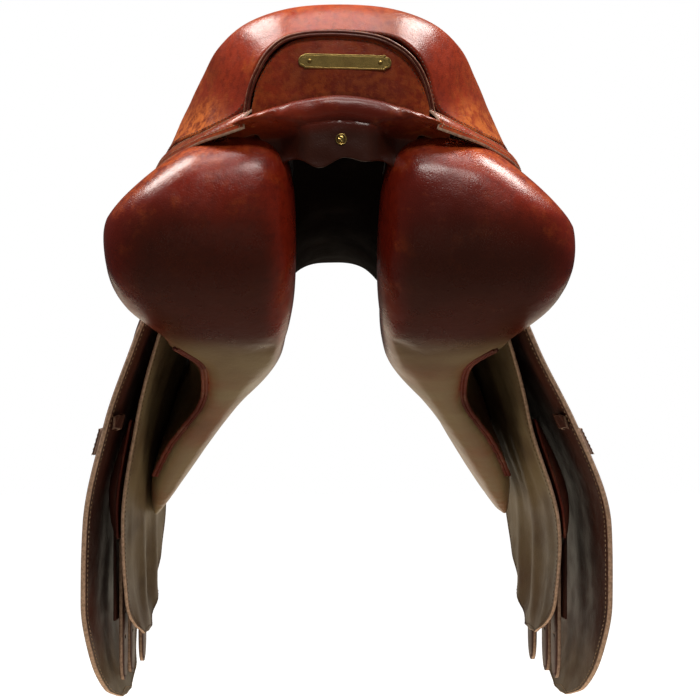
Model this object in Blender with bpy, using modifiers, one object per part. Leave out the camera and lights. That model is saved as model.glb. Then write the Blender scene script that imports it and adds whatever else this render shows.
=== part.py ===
"""English saddle, built up the way a saddler builds one.

The tree (laminated frame, head arch, plates and springs) carries webbing, foam and the
seat cover. Panels, sweat flaps, girth webs and stirrup bars hang from it. Flaps, skirts,
billets, buckle guards, bar catches and D-rings move.

Frame: metres, +Z up, +Y to the front (pommel), +X to the saddle's right side.
The origin lies on the horse's back, in the middle of the channel at the waist.
"""

import math

import bmesh
import bpy
from mathutils import Matrix, Vector

for old in list(bpy.data.objects):
    bpy.data.objects.remove(old, do_unlink=True)

MM = 0.001

# ---------------------------------------------------------------- driving dimensions
SEAT_LOW = (0.0, 5.0, 158.0)  # deepest point of the seat, mm
COVER = 2.4  # seat leather
FOAM = 15.6
FLAP_LEATHER = 4.4
SWEAT_LEATHER = 3.2
SKIRT_LEATHER = 3.8
BILLET_WIDTH, BILLET_LEATHER = 25.0, 3.4
BILLET_TIP = -290.0
BILLET_PLACES = {"front": 110.0, "middle": 52.0, "rear": 16.0}
BAR_LENGTH, BAR_HEIGHT = 92.0, 11.0
BAR_FRONT, BAR_LEVEL = 158.0, 58.0
PLATE_LENGTH, PLATE_HEIGHT, PLATE_TILT = 63.5, 11.0, 1.2
SCREW_HEAD, CUP_EDGE = 3.0, 4.4  # radii

SIDES = (("left", -1.0), ("right", 1.0))

# The seat's rim, from the middle of the cantle to the middle of the pommel, right side.
CREST = [
    (0, -216, 260), (40, -213, 257.5), (74, -203, 248), (97, -187, 232), (110, -168, 214),
    (120, -144, 198), (128, -112, 183), (126, -70, 163), (113, -26, 147), (98, 30, 140),
    (84, 84, 148), (72, 132, 166), (56, 174, 189), (30, 200, 205), (0, 209, 210),
]
# The lower edge of the seat cover, station for station with the rim.
HEM = [
    (0, -237, 234), (41, -235.5, 231), (66, -232, 219), (76, -227, 200), (82, -220, 177),
    (108, -200, 166), (136, -158, 160), (147, -102, 143), (131, -38, 119), (110, 30, 108),
    (92, 86, 113), (78, 136, 127), (62, 184, 143), (34, 211, 150), (0, 218, 152),
]
# Girth profile of a saddle side, (height, distance from the middle), at y = -60.
SIDE_PROFILE = [
    (-320, 164), (-260, 175), (-213, 181), (-145, 181), (-60, 167), (10, 146), (40, 134),
    (80, 118), (100, 110), (140, 97),
]


# ---------------------------------------------------------------- smooth interpolation
def smoothstep(low, high, value):
    t = min(1.0, max(0.0, (value - low) / (high - low)))
    return t * t * (3.0 - 2.0 * t)


def mix(a, b, t):
    return a + (b - a) * t


def eased(table, value):
    """A monotone cubic through (place, amount) pairs in rising order of place."""
    if value <= table[0][0]:
        return table[0][1]
    if value >= table[-1][0]:
        return table[-1][1]
    slopes = [(b[1] - a[1]) / (b[0] - a[0]) for a, b in zip(table, table[1:])]
    tangents = [slopes[0]]
    for left, right in zip(slopes, slopes[1:]):
        same_way = left * right > 0
        tangents.append(2 * left * right / (left + right) if same_way else 0.0)
    tangents.append(slopes[-1])
    for i, (a, b) in enumerate(zip(table, table[1:])):
        if value <= b[0]:
            width = b[0] - a[0]
            t = (value - a[0]) / width
            return (
                a[1] * (2 * t**3 - 3 * t**2 + 1)
                + tangents[i] * width * (t**3 - 2 * t**2 + t)
                + b[1] * (3 * t**2 - 2 * t**3)
                + tangents[i + 1] * width * (t**3 - t**2)
            )
    return table[-1][1]


def catmull(points, t):
    """The point at t (0 to 1) of a smooth curve through the points."""
    place = t * (len(points) - 1)
    i = min(int(place), len(points) - 2)
    u = place - i
    a, b, c, d = (Vector(points[min(max(i + k, 0), len(points) - 1)]) for k in (-1, 0, 1, 2))
    return 0.5 * ((2 * b) + (c - a) * u + (2 * a - 5 * b + 4 * c - d) * u**2
                  + (3 * b - 3 * c + d - a) * u**3)


# ---------------------------------------------------------------- making objects
def collection(name):
    made = bpy.data.collections.new(name)
    bpy.context.scene.collection.children.link(made)
    return made


PARTS = collection("english_saddle")
CUTTERS = collection("cutters")


def material(name, colour, roughness, metallic=0.0):
    made = bpy.data.materials.new(name)
    made.use_nodes = True
    shader = made.node_tree.nodes["Principled BSDF"]
    shader.inputs["Base Color"].default_value = (*colour, 1.0)
    shader.inputs["Roughness"].default_value = roughness
    shader.inputs["Metallic"].default_value = metallic
    return made


OXBLOOD = (0.22, 0.028, 0.012)
BRIDLE = (0.16, 0.035, 0.016)
UNDERSIDE = (0.09, 0.055, 0.035)


def place(name, mesh, colour, roughness=0.45, metallic=0.0, pivot=None, home=PARTS):
    """An object from a mesh in millimetres, its origin moved to the pivot."""
    centre = Vector(pivot or (0, 0, 0)) * MM
    mesh.transform(Matrix.Scale(MM, 4))
    mesh.transform(Matrix.Translation(-centre))
    made = bpy.data.objects.new(name, mesh)
    made.location = centre
    mesh.materials.append(material(name, colour, roughness, metallic))
    mesh.shade_smooth()
    mesh.set_sharp_from_angle(angle=math.radians(40))
    home.objects.link(made)
    return made


def mesh_of(name, points, faces):
    """A closed mesh, its faces turned outwards."""
    mesh = bpy.data.meshes.new(name)
    mesh.from_pydata([tuple(p) for p in points], [], faces)
    work = bmesh.new()
    work.from_mesh(mesh)
    bmesh.ops.remove_doubles(work, verts=work.verts, dist=0.01)
    bmesh.ops.recalc_face_normals(work, faces=work.faces)
    work.to_mesh(mesh)
    work.free()
    return mesh


def ring_faces(count, size, closed=False):
    """Quads between the rings of a loft, and its two end caps."""
    faces = []
    for i in range(count if closed else count - 1):
        here, there = i * size, ((i + 1) % count) * size
        for j in range(size):
            k = (j + 1) % size
            faces.append((here + j, here + k, there + k, there + j))
    if not closed:
        faces.append(tuple(range(size)))
        faces.append(tuple((count - 1) * size + j for j in reversed(range(size))))
    return faces


def loft(name, sections, closed=False):
    points = [p for section in sections for p in section]
    return mesh_of(name, points, ring_faces(len(sections), len(sections[0]), closed))


def leaf(name, rows, outward, thickness):
    """A bent sheet: a grid of rows, thickened along the direction outward(point)."""
    columns = len(rows[0])
    inner = [Vector(p) for row in rows for p in row]
    outer = [p + outward(p) * thickness for p in inner]
    here, faces = len(inner), []
    for i in range(len(rows) - 1):
        for j in range(columns - 1):
            a = i * columns + j
            quad = (a, a + 1, a + columns + 1, a + columns)
            faces.append(quad)
            faces.append(tuple(here + k for k in reversed(quad)))
    rim = [j for j in range(columns)]
    rim += [i * columns + columns - 1 for i in range(1, len(rows))]
    rim += [(len(rows) - 1) * columns + j for j in reversed(range(columns - 1))]
    rim += [i * columns for i in reversed(range(1, len(rows) - 1))]
    for a, b in zip(rim, rim[1:] + rim[:1]):
        faces.append((b, a, here + a, here + b))
    return mesh_of(name, inner + outer, faces)


def box(low, high):
    """Corner points of a box as two lofted rings."""
    return [
        [(x, low[1], low[2]), (x, high[1], low[2]), (x, high[1], high[2]), (x, low[1], high[2])]
        for x in (low[0], high[0])
    ]


def slab_along(name, path, across, width, thick):
    """A flat bar along a path; across(i) is its width direction, unit length."""
    sections = []
    for i, point in enumerate(path):
        here = Vector(point)
        ahead = Vector(path[min(i + 1, len(path) - 1)]) - Vector(path[max(i - 1, 0)])
        side = Vector(across(i))
        up = ahead.cross(side).normalized()
        w, t = width(i) / 2, thick(i) / 2
        sections.append([here + side * a * w + up * b * t
                         for a, b in ((-1, -1), (1, -1), (1, 1), (-1, 1))])
    return loft(name, sections)


def tube(name, points, radius, colour, roughness, metallic, resolution=2, cyclic=False):
    """A round bar or wire through the points, as a curve with filled caps."""
    curve = bpy.data.curves.new(name, "CURVE")
    curve.dimensions = "3D"
    curve.bevel_depth = radius * MM
    curve.bevel_resolution = resolution
    curve.use_fill_caps = True
    spline = curve.splines.new("POLY")
    spline.points.add(len(points) - 1)
    spline.use_cyclic_u = cyclic
    for knot, point in zip(spline.points, points):
        knot.co = (*(Vector(point) * MM), 1.0)
    curve.materials.append(material(name, colour, roughness, metallic))
    made = bpy.data.objects.new(name, curve)
    PARTS.objects.link(made)
    return made


def turned(name, profile, centre, direction, colour, roughness, metallic, home=PARTS, turns=20):
    """A turned piece: the profile's (radius, height) pairs spun about +Z, then aimed."""
    mesh = bpy.data.meshes.new(name)
    points = [(r * MM, 0.0, h * MM) for r, h in profile]
    mesh.from_pydata(points, [(i, i + 1) for i in range(len(points) - 1)], [])
    made = bpy.data.objects.new(name, mesh)
    screw = made.modifiers.new("turn", "SCREW")
    screw.steps = screw.render_steps = turns
    screw.use_merge_vertices = True
    screw.merge_threshold = 0.00001
    made.rotation_euler = Vector(direction).to_track_quat("Z", "Y").to_euler()
    made.location = Vector(centre) * MM
    mesh.materials.append(material(name, colour, roughness, metallic))
    home.objects.link(made)
    return made


def combine(target, other, operation):
    """A Boolean on the target; the other object goes to the cutters."""
    cut = target.modifiers.new(operation.lower(), "BOOLEAN")
    cut.operation = operation
    cut.solver = "EXACT"
    cut.object = other
    other.hide_render = True
    other.display_type = "WIRE"


# ---------------------------------------------------------------- the seat's surface
def whole_round(half):
    """A half outline, rear to front, carried round to a closed one."""
    return half + [(-x, y, z) for x, y, z in reversed(half[1:-1])]


AROUND = 48


def round_point(outline, index):
    """The point at index of AROUND on a closed smooth curve through the outline."""
    count = len(outline)
    along = index / AROUND * count
    i = int(along) % count
    u = along - int(along)
    a, b, c, d = (Vector(outline[(i + k) % count]) for k in (-1, 0, 1, 2))
    return 0.5 * ((2 * b) + (c - a) * u + (2 * a - 5 * b + 4 * c - d) * u**2
                  + (3 * b - 3 * c + d - a) * u**3)


RIM = [round_point(whole_round(CREST), i) for i in range(AROUND)]
EDGE = [round_point(whole_round(HEM), i) for i in range(AROUND)]


def seat_top(index, reach):
    """On the dished top: reach runs from 0 in the middle to 1 on the rim."""
    rim, low = RIM[index % AROUND], Vector(SEAT_LOW)
    height = low.z + (rim.z - low.z) * reach**2.3
    return Vector((low.x + (rim.x - low.x) * reach, low.y + (rim.y - low.y) * reach, height))


def seat_side(index, t):
    """Over the rolled rim and down to the hem, t from 0 to 1."""
    rim, edge = RIM[index % AROUND], EDGE[index % AROUND]
    over = seat_top(index, 1.0) - seat_top(index, 0.93)
    bulge = rim + over.normalized() * 9.0 + Vector((0, 0, -5.0))
    return (1 - t) ** 2 * rim + 2 * t * (1 - t) * bulge + t**2 * edge


def seat_layer(name, inner, outer, top, bottom, steps=5):
    """A closed layer under the seat's top, between two depths and two reaches."""
    reaches = [mix(inner, outer, k / steps) for k in range(steps + 1)]
    depths = [(r, top) for r in reaches] + [(r, bottom) for r in reversed(reaches)]
    rings = [[seat_top(i, r) - Vector((0, 0, d)) for i in range(AROUND)] for r, d in depths]
    if inner > 0.1:
        return loft(name, rings, closed=True)
    return loft(name, rings)


# ---------------------------------------------------------------- the sides' surface
def side_x(y, z):
    """How far the sweat flap's inner face stands from the middle."""
    toe = mix(0.09, 0.15, smoothstep(-60, 100, z))
    return eased(SIDE_PROFILE, z) - toe * (max(y, -110) + 60)


def flap_gap(y, z):
    """From the sweat flap's inner face out to the flap's inner face."""
    gap = eased([(-306, 35), (-270, 40), (-235, 38), (-194, 35.5), (-163, 33), (-122, 28.5),
                 (-81, 23), (-41, 17.5), (10, 12.8), (60, 10), (100, 8)], z)
    return gap - 3.0 * smoothstep(-20, -80, y) * smoothstep(-60, 0, z)


HINGE_REAR, HINGE_FRONT = Vector((138.0, -80.0, 92.0)), Vector((86.0, 170.0, 124.0))


def hinge_point(y):
    """On the line about which flap and skirt lift."""
    return HINGE_REAR.lerp(HINGE_FRONT, (y - HINGE_REAR.y) / (HINGE_FRONT.y - HINGE_REAR.y))


# How much further out than the gap each flap hangs, its leather having taken a set.
FLAP_SET = {"left": -10.0, "right": 13.0}
SWEAT_SET = {"left": -1.0, "right": 14.0}


def side_leaf(name, rear, front, top, bottom, offset, thickness, s, rows=14, columns=11,
              lift=0.0, outward=None):
    """A leaf that follows the saddle's side between two outlines of (z, y) pairs."""
    grid = []
    for i in range(rows + 1):
        t = i / rows
        t = 0.5 * (t + smoothstep(0, 1, t))
        back, ahead = eased(rear, mix(top, bottom, t)), eased(front, mix(top, bottom, t))
        row = []
        for j in range(columns + 1):
            y = mix(back, ahead, j / columns)
            z = mix(top + lift * y, bottom, t)
            row.append((s * (side_x(y, z) + offset(y, z)), y, z))
        grid.append(row)
    return leaf(name, grid, outward or (lambda p: Vector((s * thickness, 0, 0))), 1.0)


# ---------------------------------------------------------------- panels
def panel_inner(y, z):
    """The bearing side of a panel, its distance from the middle."""
    waist = eased([(-120, 120), (-80, 100), (-45, 77), (-22, 56), (-2, 44), (20, 40), (60, 38)],
                  z)
    front = eased([(-165, 166), (-103, 127), (-45, 96), (0, 78), (40, 66), (90, 57)], z)
    ahead = mix(waist, front, smoothstep(-50, 90, y))
    return mix(34.5, ahead, smoothstep(-175, -60, y))


def panel_outer(y, z):
    lobe = eased([(0, 166), (30, 178), (60, 182), (90, 181), (120, 174), (160, 160)], z)
    side = side_x(y, z) - mix(1.5, 21.0, smoothstep(-25, 25, z))
    # Under the lobes the panel draws in from the sweat flap, and meets it further forward.
    waist = eased([(-120, 163), (-106, 158), (-81, 145), (-59, 127), (-37, 113), (-15, 113),
                   (10, 158)], z)
    drawn_in = mix(min(waist, side), side, smoothstep(-10, 140, y))
    return mix(lobe, drawn_in, smoothstep(-150, -88, y))


PANEL_TOP = [(-238, 152), (-224, 166), (-205, 167), (-190, 164), (-170, 158), (-140, 148),
             (-110, 128), (-80, 104), (-50, 88), (0, 82), (60, 82), (120, 90), (170, 96),
             (206, 84)]
PANEL_LOW = [(-240, 92), (-226, 60), (-200, 34), (-160, 10), (-120, -8), (-80, -30),
             (-40, -60), (0, -98), (50, -142), (100, -163), (150, -148), (185, -96),
             (206, -30)]
PANEL_PLACES = [-240, -237, -231, -222, -208, -190, -168, -144, -120, -96, -72, -48, -24, 0,
                25, 50, 75, 100, 125, 150, 172, 190, 201, 206]


def panel(name, s):
    sections = []
    for y in PANEL_PLACES:
        top, low = eased(PANEL_TOP, y), eased(PANEL_LOW, y)
        nose = math.sqrt(max(0.02, 1 - max(0, (-y - 200) / 41) ** 2))
        toe = math.sqrt(max(0.1, 1 - max(0, (y - 170) / 38) ** 2))
        rear = 1.0 - smoothstep(-130, -40, y)
        section = []
        for k in range(24):
            turn = 2 * math.pi * k / 24
            up, out = math.sin(turn), math.cos(turn)
            outer = 1.0 if up > 0 else 0.85
            power = mix(0.6, outer if out > 0 else 0.5, rear)
            up = math.copysign(abs(up) ** power, up)
            out = math.copysign(abs(out) ** power, out)
            z = (top + low) / 2 + up * (top - low) / 2
            near, far = panel_inner(y, z), panel_outer(y, z)
            middle, half = (near + far) / 2, (far - near) / 2
            x = middle + out * half * nose ** (0.4 if out < 0 else 1.0) * toe
            z -= 0.0030 * rear * max(0.0, x - 48) ** 2 * max(0.0, up)
            section.append((s * x, y, z))
        sections.append(section)
    return place(name, loft(name, sections), OXBLOOD, 0.35)


# ---------------------------------------------------------------- tree, webs and seat
ARCH = [(0, 138), (30, 135), (53, 120), (72, 92), (88, 57), (102, 28)]
WOOD, STEEL = (0.55, 0.38, 0.2), (0.35, 0.35, 0.36)


def seat_height(x, y):
    """The height of the dished seat over a place in plan."""
    for i in range(AROUND):
        a = RIM[i] - Vector(SEAT_LOW)
        b = RIM[(i + 1) % AROUND] - Vector(SEAT_LOW)
        span = a.x * b.y - a.y * b.x
        p = (x - SEAT_LOW[0], y - SEAT_LOW[1])
        u = (p[0] * b.y - p[1] * b.x) / span
        v = (a.x * p[1] - a.y * p[0]) / span
        if u >= 0 and v >= 0 and u + v > 0:
            rise = (u * a.z + v * b.z) / (u + v)
            return SEAT_LOW[2] + rise * (u + v) ** 2.3
    return SEAT_LOW[2]


def arch_band(name, inner, outer, rear, front, reach, colour, roughness, metallic=0.0):
    """A band that follows the head arch, reach being the share of each leg that it covers."""
    half = [catmull([(x, 0, z) for x, z in ARCH], reach * k / 10) for k in range(11)]
    path = [Vector((-p.x, 0, p.z)) for p in reversed(half[1:])] + half
    sections = []
    for i, point in enumerate(path):
        ahead = path[min(i + 1, len(path) - 1)] - path[max(i - 1, 0)]
        normal = Vector((-ahead.z, 0, ahead.x)).normalized()
        sections.append([(p.x, y, p.z) for p, y in (
            (point + normal * inner, rear), (point + normal * outer, rear),
            (point + normal * outer, front), (point + normal * inner, front))])
    place(name, loft(name, sections), colour, roughness, metallic)


def build_tree():
    place("tree_frame", seat_layer("tree_frame", 0.76, 0.92, 26.6, 36.6, 2), WOOD, 0.6)
    arch_band("tree_head_arch", -5, 2.5, 122, 164, 1.0, WOOD, 0.6)
    arch_band("head_plate", 3.0, 4.8, 128, 158, 0.5, STEEL, 0.4, 1.0)
    arch_band("gullet_plate", -7.8, -5.9, 128, 158, 0.8, STEEL, 0.4, 1.0)

    rows = [[seat_top(i, r) - Vector((0, 0, 39)) for i in range(-6, 7)]
            for r in (0.76, 0.84, 0.91)]
    mesh = leaf("cantle_plate", rows, lambda p: Vector((0, 0, 1)), 1.6)
    place("cantle_plate", mesh, STEEL, 0.4, 1.0)
    for word, s in SIDES:
        name = f"tree_spring_{word}"
        path = [(s * 34, y, seat_height(34, y) - 27.5) for y in range(-132, 121, 18)]
        place(name, slab_along(name, path, lambda i: (1, 0, 0), lambda i: 18, lambda i: 1.6),
              STEEL, 0.35, 1.0)


def build_seat():
    place("seat_foam", seat_layer("seat_foam", 0.04, 0.9, 5.6, 5.6 + FOAM, 4),
          (0.8, 0.75, 0.6), 0.9)
    place("seat_webbing", seat_layer("seat_webbing", 0.04, 0.9, 23.2, 24.6, 4),
          (0.7, 0.66, 0.55), 0.9)
    rings = [[seat_top(i, r) for i in range(AROUND)]
             for r in (0.12, 0.34, 0.54, 0.7, 0.83, 0.93, 1.0)]
    rings += [[seat_side(i, t) for i in range(AROUND)] for t in (0.16, 0.34, 0.56, 0.78, 1)]
    points = [p for ring in rings for p in ring] + [Vector(SEAT_LOW)]
    faces = ring_faces(len(rings), AROUND)[:-2]
    faces += [(len(points) - 1, (j + 1) % AROUND, j) for j in range(AROUND)]
    mesh = mesh_of("seat_cover", points, faces)
    if mesh.polygons[len(mesh.polygons) - 1].normal.z < 0:
        mesh.flip_normals()
    cover = place("seat_cover", mesh, OXBLOOD, 0.35)
    shell = cover.modifiers.new("leather", "SOLIDIFY")
    shell.thickness = COVER * MM
    shell.offset = -1
    shell.use_even_offset = True


# ---------------------------------------------------------------- the back of the cantle
BACK_TOP = [(0, 231), (40, 228), (56, 221.5), (66, 213), (72, 203), (75.5, 187)]
PLATE_AT = (4.4, 213.0)
SCREW_AT = (1.5, -244.6, 155.0)


def back_y(x):
    return -236.2 + 9.0 * (abs(x) / 76) ** 2.6


def back_low(x):
    return 187.0 - 10.0 * (x / 76) ** 2


def build_back():
    half = BACK_TOP[-1][0]
    columns = [half * math.sin(math.pi / 2 * k / 12) for k in range(-12, 13)]
    rows = [[(x, back_y(x), mix(back_low(x), eased(BACK_TOP, abs(x)), t)) for x in columns]
            for t in (0.0, 0.5, 1.0)]
    mesh = leaf("cantle_back_panel", rows, lambda p: Vector((0, 1, 0)), 2.2)
    place("cantle_back_panel", mesh, OXBLOOD, 0.4)

    seam = [(-81, -224, 178), (-76, -229.6, 200), (-66, -234.4, 218), (-41, -238, 230.5),
            (0, -239.6, 233.5)]
    seam += [(-x, y, z) for x, y, z in reversed(seam[:-1])]
    tube("cantle_welt", [catmull(seam, k / 28) for k in range(29)], 2.0, BRIDLE, 0.5, 0.0)

    columns = [79 * math.sin(math.pi / 2 * k / 10) for k in range(-10, 11)]
    rows = []
    for t in (0.0, 0.25, 0.5, 0.75, 1.0):
        row = []
        for x in columns:
            top = 186.5 - 19.0 * (abs(x) / 79) ** 1.8
            low = mix(146.0, 159.0, smoothstep(10, 44, abs(x)))
            bow = 3.0 * math.sin(math.pi * t)
            row.append((x, -240.2 - bow + 9.0 * (abs(x) / 79) ** 2, mix(low, top, t)))
        rows.append(row)
    mesh = leaf("panel_rear_facing", rows, lambda p: Vector((0, 1, 0)), 2.6)
    place("panel_rear_facing", mesh, OXBLOOD, 0.4)

    profile = [(0.0, 1.3), (0.6 * SCREW_HEAD, 1.1), (SCREW_HEAD, 0.4), (SCREW_HEAD, 0.0),
               (0.0, 0.0)]
    turned("panel_screw", profile, SCREW_AT, (0, -1, 0), (0.35, 0.24, 0.12), 0.4, 1.0, turns=16)
    profile = [(SCREW_HEAD + 0.3, 0.9), (CUP_EDGE - 0.4, 0.8), (CUP_EDGE, 0.0),
               (SCREW_HEAD + 0.3, 0.0), (SCREW_HEAD + 0.3, 0.9)]
    turned("panel_screw_cup", profile, SCREW_AT, (0, -1, 0), (0.4, 0.28, 0.14), 0.4, 1.0,
           turns=16)

    outline = []
    half_long, half_high, notch = PLATE_LENGTH / 2, PLATE_HEIGHT / 2, 2.2
    for sx, sz in ((1, 1), (-1, 1), (-1, -1), (1, -1)):
        corner = []
        for k in range(5):
            turn = math.pi / 2 * k / 4
            corner.append((half_long - notch * math.sin(turn), half_high - notch * math.cos(turn)))
        corner = list(reversed(corner)) if sx * sz < 0 else corner
        outline += [(sx * x, sz * z) for x, z in corner]
    tilt = math.radians(-PLATE_TILT)
    turned_points = [(PLATE_AT[0] + x * math.cos(tilt) - z * math.sin(tilt),
                      PLATE_AT[1] + x * math.sin(tilt) + z * math.cos(tilt)) for x, z in outline]
    rings = [[(x, y, z) for x, z in turned_points] for y in (-237.6, -236.8)]
    place("nameplate", loft("nameplate", rings), (0.72, 0.5, 0.2), 0.3, 1.0)
    for word, s in SIDES:
        x = PLATE_AT[0] + s * (half_long - 4.5) * math.cos(tilt)
        z = PLATE_AT[1] + s * (half_long - 4.5) * math.sin(tilt)
        profile = [(0.0, 0.9), (0.9, 0.7), (1.5, 0.0), (0.0, 0.0)]
        turned(f"nameplate_pin_{word}", profile, (x, -238.0, z), (0, -1, 0), (0.75, 0.55, 0.25),
               0.25, 1.0, turns=12)


# ---------------------------------------------------------------- the channel
CEILING = [(-230, 147), (-205, 135), (-160, 110), (-100, 90), (-50, 80), (0, 77), (60, 80),
           (120, 94), (160, 106), (200, 112)]


def build_channel():
    rows = []
    for k in range(19):
        y = mix(-230, 200, k / 18)
        high = eased(CEILING, y)
        half = panel_inner(y, high - 15) - 1.4
        sag = mix(6.0, 19.0, smoothstep(-230, -130, y))
        rows.append([(half * u, y, high - sag * abs(u) ** 2.6)
                     for u in (-1, -0.9, -0.7, -0.4, 0, 0.4, 0.7, 0.9, 1)])
    mesh = leaf("channel_lining", rows, lambda p: Vector((0, 0, 1)), 2.0)
    place("channel_lining", mesh, BRIDLE, 0.5)


# ---------------------------------------------------------------- the sides
SWEAT_REAR = [(-250, 20), (-240, -6), (-213, -28), (-145, -42), (-60, -52), (0, -58), (88, -66)]
SWEAT_FRONT = [(-250, 60), (-235, 98), (-190, 150), (-120, 186), (-50, 200), (20, 196),
               (88, 172)]
FLAP_REAR = [(-306, 22), (-294, -14), (-262, -42), (-222, -60), (-155, -74), (-60, -90),
             (12, -98), (95, -98)]
FLAP_FRONT = [(-306, 60), (-292, 112), (-250, 172), (-190, 226), (-120, 264), (-50, 284),
              (20, 276), (70, 240), (95, 204), (132, 178)]
SKIRT_REAR = [(-46, 0), (-38, -36), (-10, -58), (40, -72), (95, -80)]
SKIRT_FRONT = [(-46, 60), (-36, 110), (0, 150), (60, 168), (132, 170)]


def flap_offset(word):
    return lambda y, z: flap_gap(y, z) + FLAP_SET[word] * smoothstep(20, -150, z)


def flap_outside(word, y, z):
    return side_x(y, z) + flap_offset(word)(y, z) + FLAP_LEATHER


def sweat_offset(word):
    return lambda y, z: SWEAT_SET[word] * smoothstep(-50, -170, z)


def skirt_offset(word):
    """The skirt passes over the stirrup bar and lies on the flap below it."""
    room = [(-46, 1.4), (-20, 4), (20, 15), (60, 20), (85, 16), (105, 3.5)]
    return lambda y, z: (flap_outside(word, y, z) - side_x(y, z)
                         + mix(1.4, eased(room, z), smoothstep(-80, 15, y)))


def slot_cutter(name, s, low, high):
    """A box through a side's leather, from (y, z) to (y, z)."""
    rings = box((40.0, low[0], low[1]), (160.0, high[0], high[1]))
    rings = [[(s * x, y, z) for x, y, z in ring] for ring in rings]
    return place(name, loft(name, rings), STEEL, home=CUTTERS)


def build_leather(word, s):
    pivot = hinge_point(0)
    lifted = (s * pivot.x, pivot.y, pivot.z)
    name = f"sweat_flap_{word}"
    mesh = side_leaf(name, SWEAT_REAR, SWEAT_FRONT, 84, -250, sweat_offset(word),
                     SWEAT_LEATHER, s)
    sweat = place(name, mesh, UNDERSIDE, 0.6)
    combine(sweat, slot_cutter(f"post_hole_{word}", s, (136, 44), (172, 74)), "DIFFERENCE")

    name = f"flap_{word}"
    mesh = side_leaf(name, FLAP_REAR, FLAP_FRONT, 99, -306, flap_offset(word),
                     FLAP_LEATHER, s, 15, 11, 0.13)
    flap = place(name, mesh, BRIDLE, 0.4, 0, lifted)
    combine(flap, slot_cutter(f"bar_slot_{word}", s, (34, 40), (172, 82)), "DIFFERENCE")

    name = f"skirt_{word}"
    mesh = side_leaf(name, SKIRT_REAR, SKIRT_FRONT, 100, -46, skirt_offset(word),
                     SKIRT_LEATHER, s, 10, 8, 0.13)
    place(name, mesh, BRIDLE, 0.4, 0, lifted)

    name = f"flap_keeper_{word}"
    path, level = [], -76
    for k in range(9):
        y = mix(-80, -38, k / 8)
        rise = 2.2 + 3.0 * math.sin(math.pi * k / 8) ** 0.5
        path.append((s * (flap_outside(word, y, level) + rise), y, level))
    lean = (flap_outside(word, -60, level + 10) - flap_outside(word, -60, level - 10)) / 20
    upright = Vector((s * lean, 0, 1)).normalized()
    place(name, slab_along(name, path, lambda i: upright, lambda i: 20, lambda i: 2.4),
          BRIDLE, 0.45, 0, lifted)


def block(name, s, word, rear, front, top, bottom, most):
    """A padded block sewn on the outside of the sweat flap."""
    def proud(p):
        along = (p.z - bottom) / (top - bottom)
        across = (p.y - eased(rear, p.z)) / (eased(front, p.z) - eased(rear, p.z))
        dome = (math.sin(math.pi * mix(0.12, 0.88, min(1, max(0, along))))
                * math.sin(math.pi * mix(0.12, 0.88, min(1, max(0, across)))))
        clear = flap_offset(word)(p.y, p.z) - sweat_offset(word)(p.y, p.z)
        room = min(most, clear - SWEAT_LEATHER - 3)
        return Vector((s * max(2.0, room * dome), 0, 0))
    mesh = side_leaf(name, rear, front, top, bottom,
                     lambda y, z: sweat_offset(word)(y, z) + SWEAT_LEATHER + 1.1, 0, s, 10, 6,
                     outward=proud)
    place(name, mesh, BRIDLE, 0.45)


VALANCE_TOP = [(106, -202, 163), (134, -161, 156), (145, -104, 139), (130, -40, 115),
               (121, -12, 109)]
VALANCE_LOW = [(117, -206, 155), (148, -163, 141), (151, -108, 119), (134, -60, 104),
               (122, -16, 105)]


def build_valance(word, s):
    """The leather that closes the side of the seat behind the skirt."""
    rows = []
    for t in (0.0, 0.5, 1.0):
        row = []
        for k in range(13):
            point = catmull(VALANCE_TOP, k / 12).lerp(catmull(VALANCE_LOW, k / 12), t)
            bow = 3.0 * math.sin(math.pi * t)
            row.append((s * (point.x + bow), point.y, point.z))
        rows.append(row)
    name = f"side_valance_{word}"
    mesh = leaf(name, rows, lambda p: Vector((-s * 1.6, 0, -1.6)), 1.0)
    place(name, mesh, OXBLOOD, 0.4)


def build_blocks(word, s):
    block(f"knee_block_{word}", s, word, [(-150, 140), (-80, 147), (20, 147)],
          [(-150, 160), (-80, 180), (20, 184)], 20, -150, 16)
    block(f"calf_block_{word}", s, word, [(-160, -37), (-60, -47)],
          [(-160, -23), (-60, -29)], -60, -160, 13)
    name = f"point_pocket_{word}"
    rows = [[(s * (side_x(y, z) - 1.2), y, z) for y in (114, 130, 146, 160, 174)]
            for z in (44, 32, 18, 6)]
    mesh = leaf(name, rows, lambda p: Vector((-s, 0, 0)), 1.8)
    place(name, mesh, BRIDLE, 0.5)


def build_webs(word, s):
    for place_word, low, high in (("front", 96, 124), ("rear", 0, 68)):
        name = f"girth_web_{place_word}_{word}"
        rows = [[(s * (side_x(y, z) + 3.7), y, z) for y in (low, (low + high) / 2, high)]
                for z in (98, 84, 70, 56, 42, 30)]
        mesh = leaf(name, rows, lambda p: Vector((s, 0, 0)), 1.0)
        place(name, mesh, (0.75, 0.72, 0.62), 0.9)


def billet_x(word, y, z):
    """The middle of a billet's leather: it lies on the sweat flap, then hangs straight."""
    hang = side_x(y, -180) + SWEAT_SET[word] + SWEAT_LEATHER + 7.2
    near = side_x(y, z) + sweat_offset(word)(y, z) + SWEAT_LEATHER + 3.6
    return mix(hang, near, smoothstep(-140, -60, z))


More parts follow.
